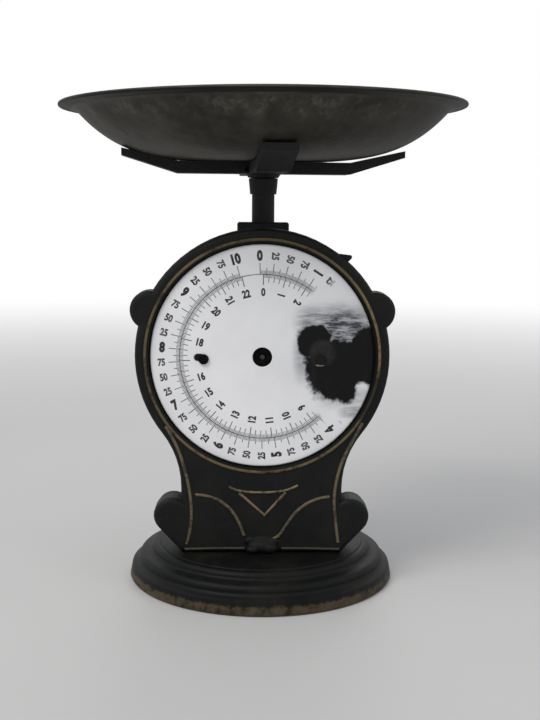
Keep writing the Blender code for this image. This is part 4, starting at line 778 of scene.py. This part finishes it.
bpy.ops.object.modifier_add(type="REMESH")
fuse = bpy.context.object.modifiers[-1]
fuse.mode = "VOXEL"
fuse.voxel_size = 0.00045
bpy.ops.object.modifier_apply(modifier=fuse.name)
bpy.ops.object.mode_set(mode="EDIT")
bpy.ops.mesh.select_all(action="SELECT")
bpy.ops.mesh.vertices_smooth(factor=0.5, repeat=3)
lump = close("cast_lump", math.radians(60))
wear(lump, black_iron("lump_iron_look", gloss=0.5))
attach(lump, "stand")

# Guide, post and cross
# A cast block guides a round post, whose tapered collar carries a cross of four iron arms, held by a pin.
# They are painted black and dull from handling, as are the hanger, guide, crosshead and bracket inside.

post_look = black_iron("dark_iron_look", gloss=0.48, shine=0.30)
for name in ("guide_block", "post", "pan_support"):
    wear(name, post_look)
for name in ("spring_hanger", "lower_guide", "crosshead", "rack_bracket"):
    wear(name, post_look)

# Pan
# A loose round pan of dark sheet iron, pressed into a shallow bowl with a rim turned outwards over a wire.
# Its black has gone to a mottled warm grey, lighter and dusty below the rim, and it lies a little askew.

PAN_LOW = round(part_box("pan")[0].z, 4)
PAN_WALL = 0.0012
PAN_TILT = math.radians(0.47)
BOWL_RADIUS = 0.1263
BOWL_DEPTH = 0.0330
BOWL_CURVE = 4.3
BOWL_RINGS = 40
BOTTOM_DISC = 0.006
WIRE_MIDDLE = (0.1372, 0.3285)
WIRE_RADIUS = 0.0013
DUST_HEIGHT = 0.3200

DARK_SHEET = (0.0190, 0.0168, 0.0122, 1)
PALE_SHEET = (0.0580, 0.0520, 0.0390, 1)
PALE_RUNS = (0.0680, 0.0630, 0.0500, 1)
GREY_DUST = (0.1500, 0.1450, 0.1300, 1)
# Warm colour of the rim's top edge: partly rubbed metal and partly a painted highlight.
RUBBED_RIM_AND_HIGHLIGHT = (0.0900, 0.0780, 0.0560, 1)
# Near black for the painted shade on the pan's right front side.
PAINTED_SHADE_SHEET = (0.0085, 0.0075, 0.0055, 1)
# Near black for the painted shade under the rim's lip.
PAINTED_SHADE_UNDER_RIM = (0.0060, 0.0052, 0.0040, 1)


def pan_skin(radius):
    """Height of the pan's outer surface at a radius."""
    return PAN_LOW + BOWL_DEPTH * (radius / BOWL_RADIUS) ** BOWL_CURVE


rings = [BOTTOM_DISC + (BOWL_RADIUS - BOTTOM_DISC) * (i / BOWL_RINGS) ** 0.8 for i in range(BOWL_RINGS + 1)]
outside = [(radius, pan_skin(radius)) for radius in rings]
outside += [(0.1300, 0.3260), (0.1335, 0.3271), (0.1360, 0.3277)]
wire = bow(WIRE_MIDDLE, WIRE_RADIUS, -110, 110, 10)
inside = []
for i, (radius, height) in enumerate(outside):
    before, after = outside[max(i - 1, 0)], outside[min(i + 1, len(outside) - 1)]
    way = Vector((after[0] - before[0], after[1] - before[1])).normalized()
    inside.append((radius - way.y * PAN_WALL, height + way.x * PAN_WALL))
turn(outside + wire + inside[::-1], ROUND_STEPS)
bpy.ops.transform.rotate(value=PAN_TILT, orient_axis="Y", center_override=(0, 0, PAN_LOW))
bowl = close("sheet_pan")

material, shade, shader = painted("pan_look")
vector, x, y, z = places(shade)
radius = away(x, y)
hanging = stretched(vector, (1.0, 1.0, 0.3))
mottled = grain(vector, 26, 5, 0.62)
spots = grain(hanging, 150, 5, 0.7)
runs = grain(hanging, 90, 5, 0.65).rise(0.35, 0.75)
dust = (1 - abs(z - DUST_HEIGHT).rise(0.0, 0.0110)) * spots.rise(0.46, 0.70) * mottled.rise(0.38, 0.58)
# A warm light line along the top of the rim: partly rubbed metal, partly a painted highlight along the edge.
rim_wear_and_highlight = radius.rise(0.1362, 0.1372) * z.rise(0.3290, 0.3296)
# Painted shade: the pan's right front side is darkened and made less metallic, as if the light fell from the
# left.
painted_shade_right = x.rise(0.010, 0.110) * (1 - y.rise(-0.020, 0.020)) * 0.62
# Painted shade on the underside of the rim's lip, where it is turned away from the light.
shade_under_rim = radius.rise(0.1290, 0.1315) * (1 - z.rise(0.3278, 0.3288))
colour = blend(mottled.rise(0.35, 0.70), DARK_SHEET, PALE_SHEET)
colour = blend(runs * 0.45, colour, PALE_RUNS)
colour = blend(dust * 0.70, colour, GREY_DUST)
colour = blend(rim_wear_and_highlight * 0.5, colour, RUBBED_RIM_AND_HIGHLIGHT)
colour = blend(painted_shade_right, colour, PAINTED_SHADE_SHEET)
colour = blend(shade_under_rim * 0.85, colour, PAINTED_SHADE_UNDER_RIM)
feed(
    shader,
    {
        "Base Color": colour,
        "Roughness": 0.44 + mottled * 0.18 + dust * 0.12,
        "Metallic": (0.30 + mottled * 0.15) * (1 - painted_shade_right * 0.7),
        "Specular IOR Level": 0.22,
        "Normal": bump(mottled * 2.0 + spots * 0.4 + runs * 0.3, 0.5, 0.0006),
    },
)
wear(bowl, material)
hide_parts("pan")
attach(bowl, "pan")

# Screws, pin and nut
# Plain steel screws, slotted or round headed, with the pin that holds the cross and the nut of the crosshead.
# They are dark with age, and brown in their recesses.

DARK_STEEL = (0.070, 0.066, 0.060, 1)
BROWN_STEEL = (0.045, 0.030, 0.020, 1)

material, shade, shader = painted("screw_look")
vector, x, y, z = places(shade)
tarnish = grain(vector, 260, 5, 0.65)
feed(
    shader,
    {
        "Base Color": blend(tarnish.rise(0.35, 0.70), DARK_STEEL, BROWN_STEEL),
        "Roughness": 0.36 + tarnish * 0.30,
        "Metallic": 0.85,
        "Normal": bump(tarnish + grain(vector, 1600, 2, 0.5) * 0.4, 0.4, 0.0002),
    },
)
for name in nodes:
    if "_screw_" in name and not name.startswith("dial") or name in ("support_pin", "crosshead_nut"):
        wear(name, material)

# Springs, rack and pointer arbor
# Drawn steel: two long pull springs, and a rack with the small pinion arbor that it turns. The arbor's worn
# end shows as a lighter grey dot in the dial's middle hole, where the pointer once sat.

CLEAN_STEEL = (0.300, 0.295, 0.285, 1)
OILY_STEEL = (0.150, 0.125, 0.100, 1)
BLACKENED_STEEL = (0.010, 0.010, 0.010, 1)
WORN_STEEL = (0.045, 0.046, 0.048, 1)

material, shade, shader = painted("steel_look")
vector, x, y, z = places(shade)
oil = grain(vector, 140, 4, 0.6)
feed(
    shader,
    {
        "Base Color": blend(oil.rise(0.35, 0.75), CLEAN_STEEL, OILY_STEEL),
        "Roughness": 0.30 + oil * 0.22,
        "Metallic": 0.95,
        "Normal": bump(grain(vector, 1800, 3, 0.5), 0.25, 0.0001),
    },
)
for name in ("spring_left", "spring_right", "rack"):
    wear(name, material)

material, shade, shader = painted("arbor_look")
vector, x, y, z = places(shade)
worn_end = (1 - y.rise(-0.0370, -0.0360)) * grain(vector, 500, 3, 0.6).rise(0.25, 0.60)
feed(
    shader,
    {
        "Base Color": blend(worn_end, BLACKENED_STEEL, WORN_STEEL),
        "Roughness": 0.40 + grain(vector, 300, 3, 0.6) * 0.2,
        "Metallic": 0.6,
        "Normal": bump(grain(vector, 1500, 3, 0.5), 0.3, 0.0001),
    },
)
wear("pointer_arbor", material)

# Brass bearings
# A turned brass bush, and the two pillars and the bridge that hold it and the arbor's rear end behind the
# dial. The brass has gone a dull yellow brown.

YELLOW_BRASS = (0.420, 0.290, 0.110, 1)
BROWN_BRASS = (0.170, 0.105, 0.045, 1)

material, shade, shader = painted("brass_look")
vector, x, y, z = places(shade)
age = grain(vector, 120, 5, 0.6)
feed(
    shader,
    {
        "Base Color": blend(age.rise(0.35, 0.75), YELLOW_BRASS, BROWN_BRASS),
        "Roughness": 0.32 + age * 0.25,
        "Metallic": 0.9,
        "Normal": bump(grain(vector, 1500, 3, 0.5), 0.3, 0.0001),
    },
)
for name in ("arbor_bush_2", "bridge_pillar_1", "bridge_pillar_2", "bearing_bridge"):
    wear(name, material)

# Front bush and dial screws
# The parts that stand in the dial's holes, black with old oil and dirt. The front bush is brass under it, and
# the right-hand screw, in the burnt patch, is greyer.

BLACK_GRIME = (0.0020, 0.0020, 0.0019, 1)
GREY_GRIME = (0.0150, 0.0135, 0.0120, 1)

material, shade, shader = painted("grimy_look")
vector, x, y, z = places(shade)
grime = grain(vector, 420, 5, 0.65)
greyer = (grime.rise(0.45, 0.80) * 0.6).most(x.rise(0.02, 0.03) * 0.9)
feed(
    shader,
    {
        "Base Color": blend(greyer, BLACK_GRIME, GREY_GRIME),
        "Roughness": 0.50 + grime * 0.30,
        "Metallic": 0.0,
        "Specular IOR Level": 0.08,
        "Normal": bump(grime, 0.5, 0.0002),
    },
)
for name in ("arbor_bush_1", "dial_screw_1", "dial_screw_2"):
    wear(name, material)

# Floor and light
# A pale table that runs out into white, under a soft light from above and the left and a plain pale sky.

FLOOR_RADIUS = 4
FLOOR_DROP = 0.0002
FLOOR_DARK = (0.520, 0.515, 0.505, 1)
FLOOR_PALE = (0.560, 0.555, 0.545, 1)
WHITE = (1, 1, 1, 1)

start()
bpy.ops.mesh.primitive_circle_add(
    vertices=96,
    radius=FLOOR_RADIUS,
    fill_type="NGON",
    location=(0, 0, -FLOOR_DROP),
)
floor = bpy.context.object
floor.name = "floor"
material, shade, shader = painted("floor_look")
vector, x, y, z = places(shade)
far = away(x, y).rise(0.5, 2.4)
seen = shade.node("ShaderNodeLightPath", output="Is Camera Ray")
glow = shade.node("ShaderNodeEmission", None, {"Color": WHITE, "Strength": 1.0})
feed(
    shader,
    {
        "Base Color": blend(grain(vector, 3, 3, 0.5), FLOOR_DARK, FLOOR_PALE),
        "Roughness": 0.62,
        "Specular IOR Level": 0.25,
    },
)
table = Shade(shade.tree, shader.outputs["BSDF"])
mixed = shade.node("ShaderNodeMixShader", None, {0: far * seen, 1: table, 2: glow})
shade.tree.links.new(mixed.socket, shade.tree.nodes["Material Output"].inputs["Surface"])
wear(floor, material)

world = bpy.data.worlds.new("studio")
bpy.context.scene.world = world
world.use_nodes = True
sky = Shade(world.node_tree)
camera_ray, glossy_ray, through_ray = [
    sky.node("ShaderNodeLightPath", output=f"Is {kind} Ray") for kind in ("Camera", "Glossy", "Transmission")
]
plain = camera_ray.most(glossy_ray * 0.55).most(through_ray)
lit = sky.node("ShaderNodeBackground", None, {"Color": (0.93, 0.95, 1.0, 1), "Strength": 0.58})
white = sky.node("ShaderNodeBackground", None, {"Color": WHITE, "Strength": 1.0})
sky_mix = sky.node("ShaderNodeMixShader", None, {0: plain, 1: lit, 2: white})
sky.tree.links.new(sky_mix.socket, world.node_tree.nodes["World Output"].inputs["Surface"])

for place, aim, size, power, tint in (
    ((-0.9, -0.9, 1.6), (0, 0, 0.18), 0.9, 20.0, (1.0, 0.985, 0.96)),
    ((1.3, -0.7, 0.9), (0, 0, 0.15), 0.9, 2.5, (0.97, 0.98, 1.0)),
    ((0.2, 1.3, 1.2), (0, 0, 0.25), 0.8, 5.0, (1.0, 1.0, 1.0)),
):
    start()
    bpy.ops.object.light_add(type="AREA", location=place)
    lamp = bpy.context.object
    lamp.data.size = size
    lamp.data.energy = power
    lamp.data.color = tint
    lamp.rotation_euler = (Vector(aim) - Vector(place)).to_track_quat("-Z", "Y").to_euler()

# Camera
# It stands in front of the scale and a little above the dial, and looks slightly down at it.

CAMERA_PLACE = (-0.0033, -0.7699, 0.2629)
CAMERA_AIM = (0.0056, 0, 0.1538)
CAMERA_ROLL = math.radians(0.46)

start()
bpy.ops.object.camera_add(location=CAMERA_PLACE)
camera = bpy.context.object
camera.data.sensor_width = 36
camera.data.lens = 55
camera.data.clip_start = 0.01
look = Vector(CAMERA_AIM) - Vector(CAMERA_PLACE)
camera.rotation_euler = look.to_track_quat("-Z", "Y").to_euler()
camera.rotation_euler.rotate_axis("Z", CAMERA_ROLL)
bpy.context.scene.camera = camera
bpy.context.scene.view_settings.view_transform = "Standard"
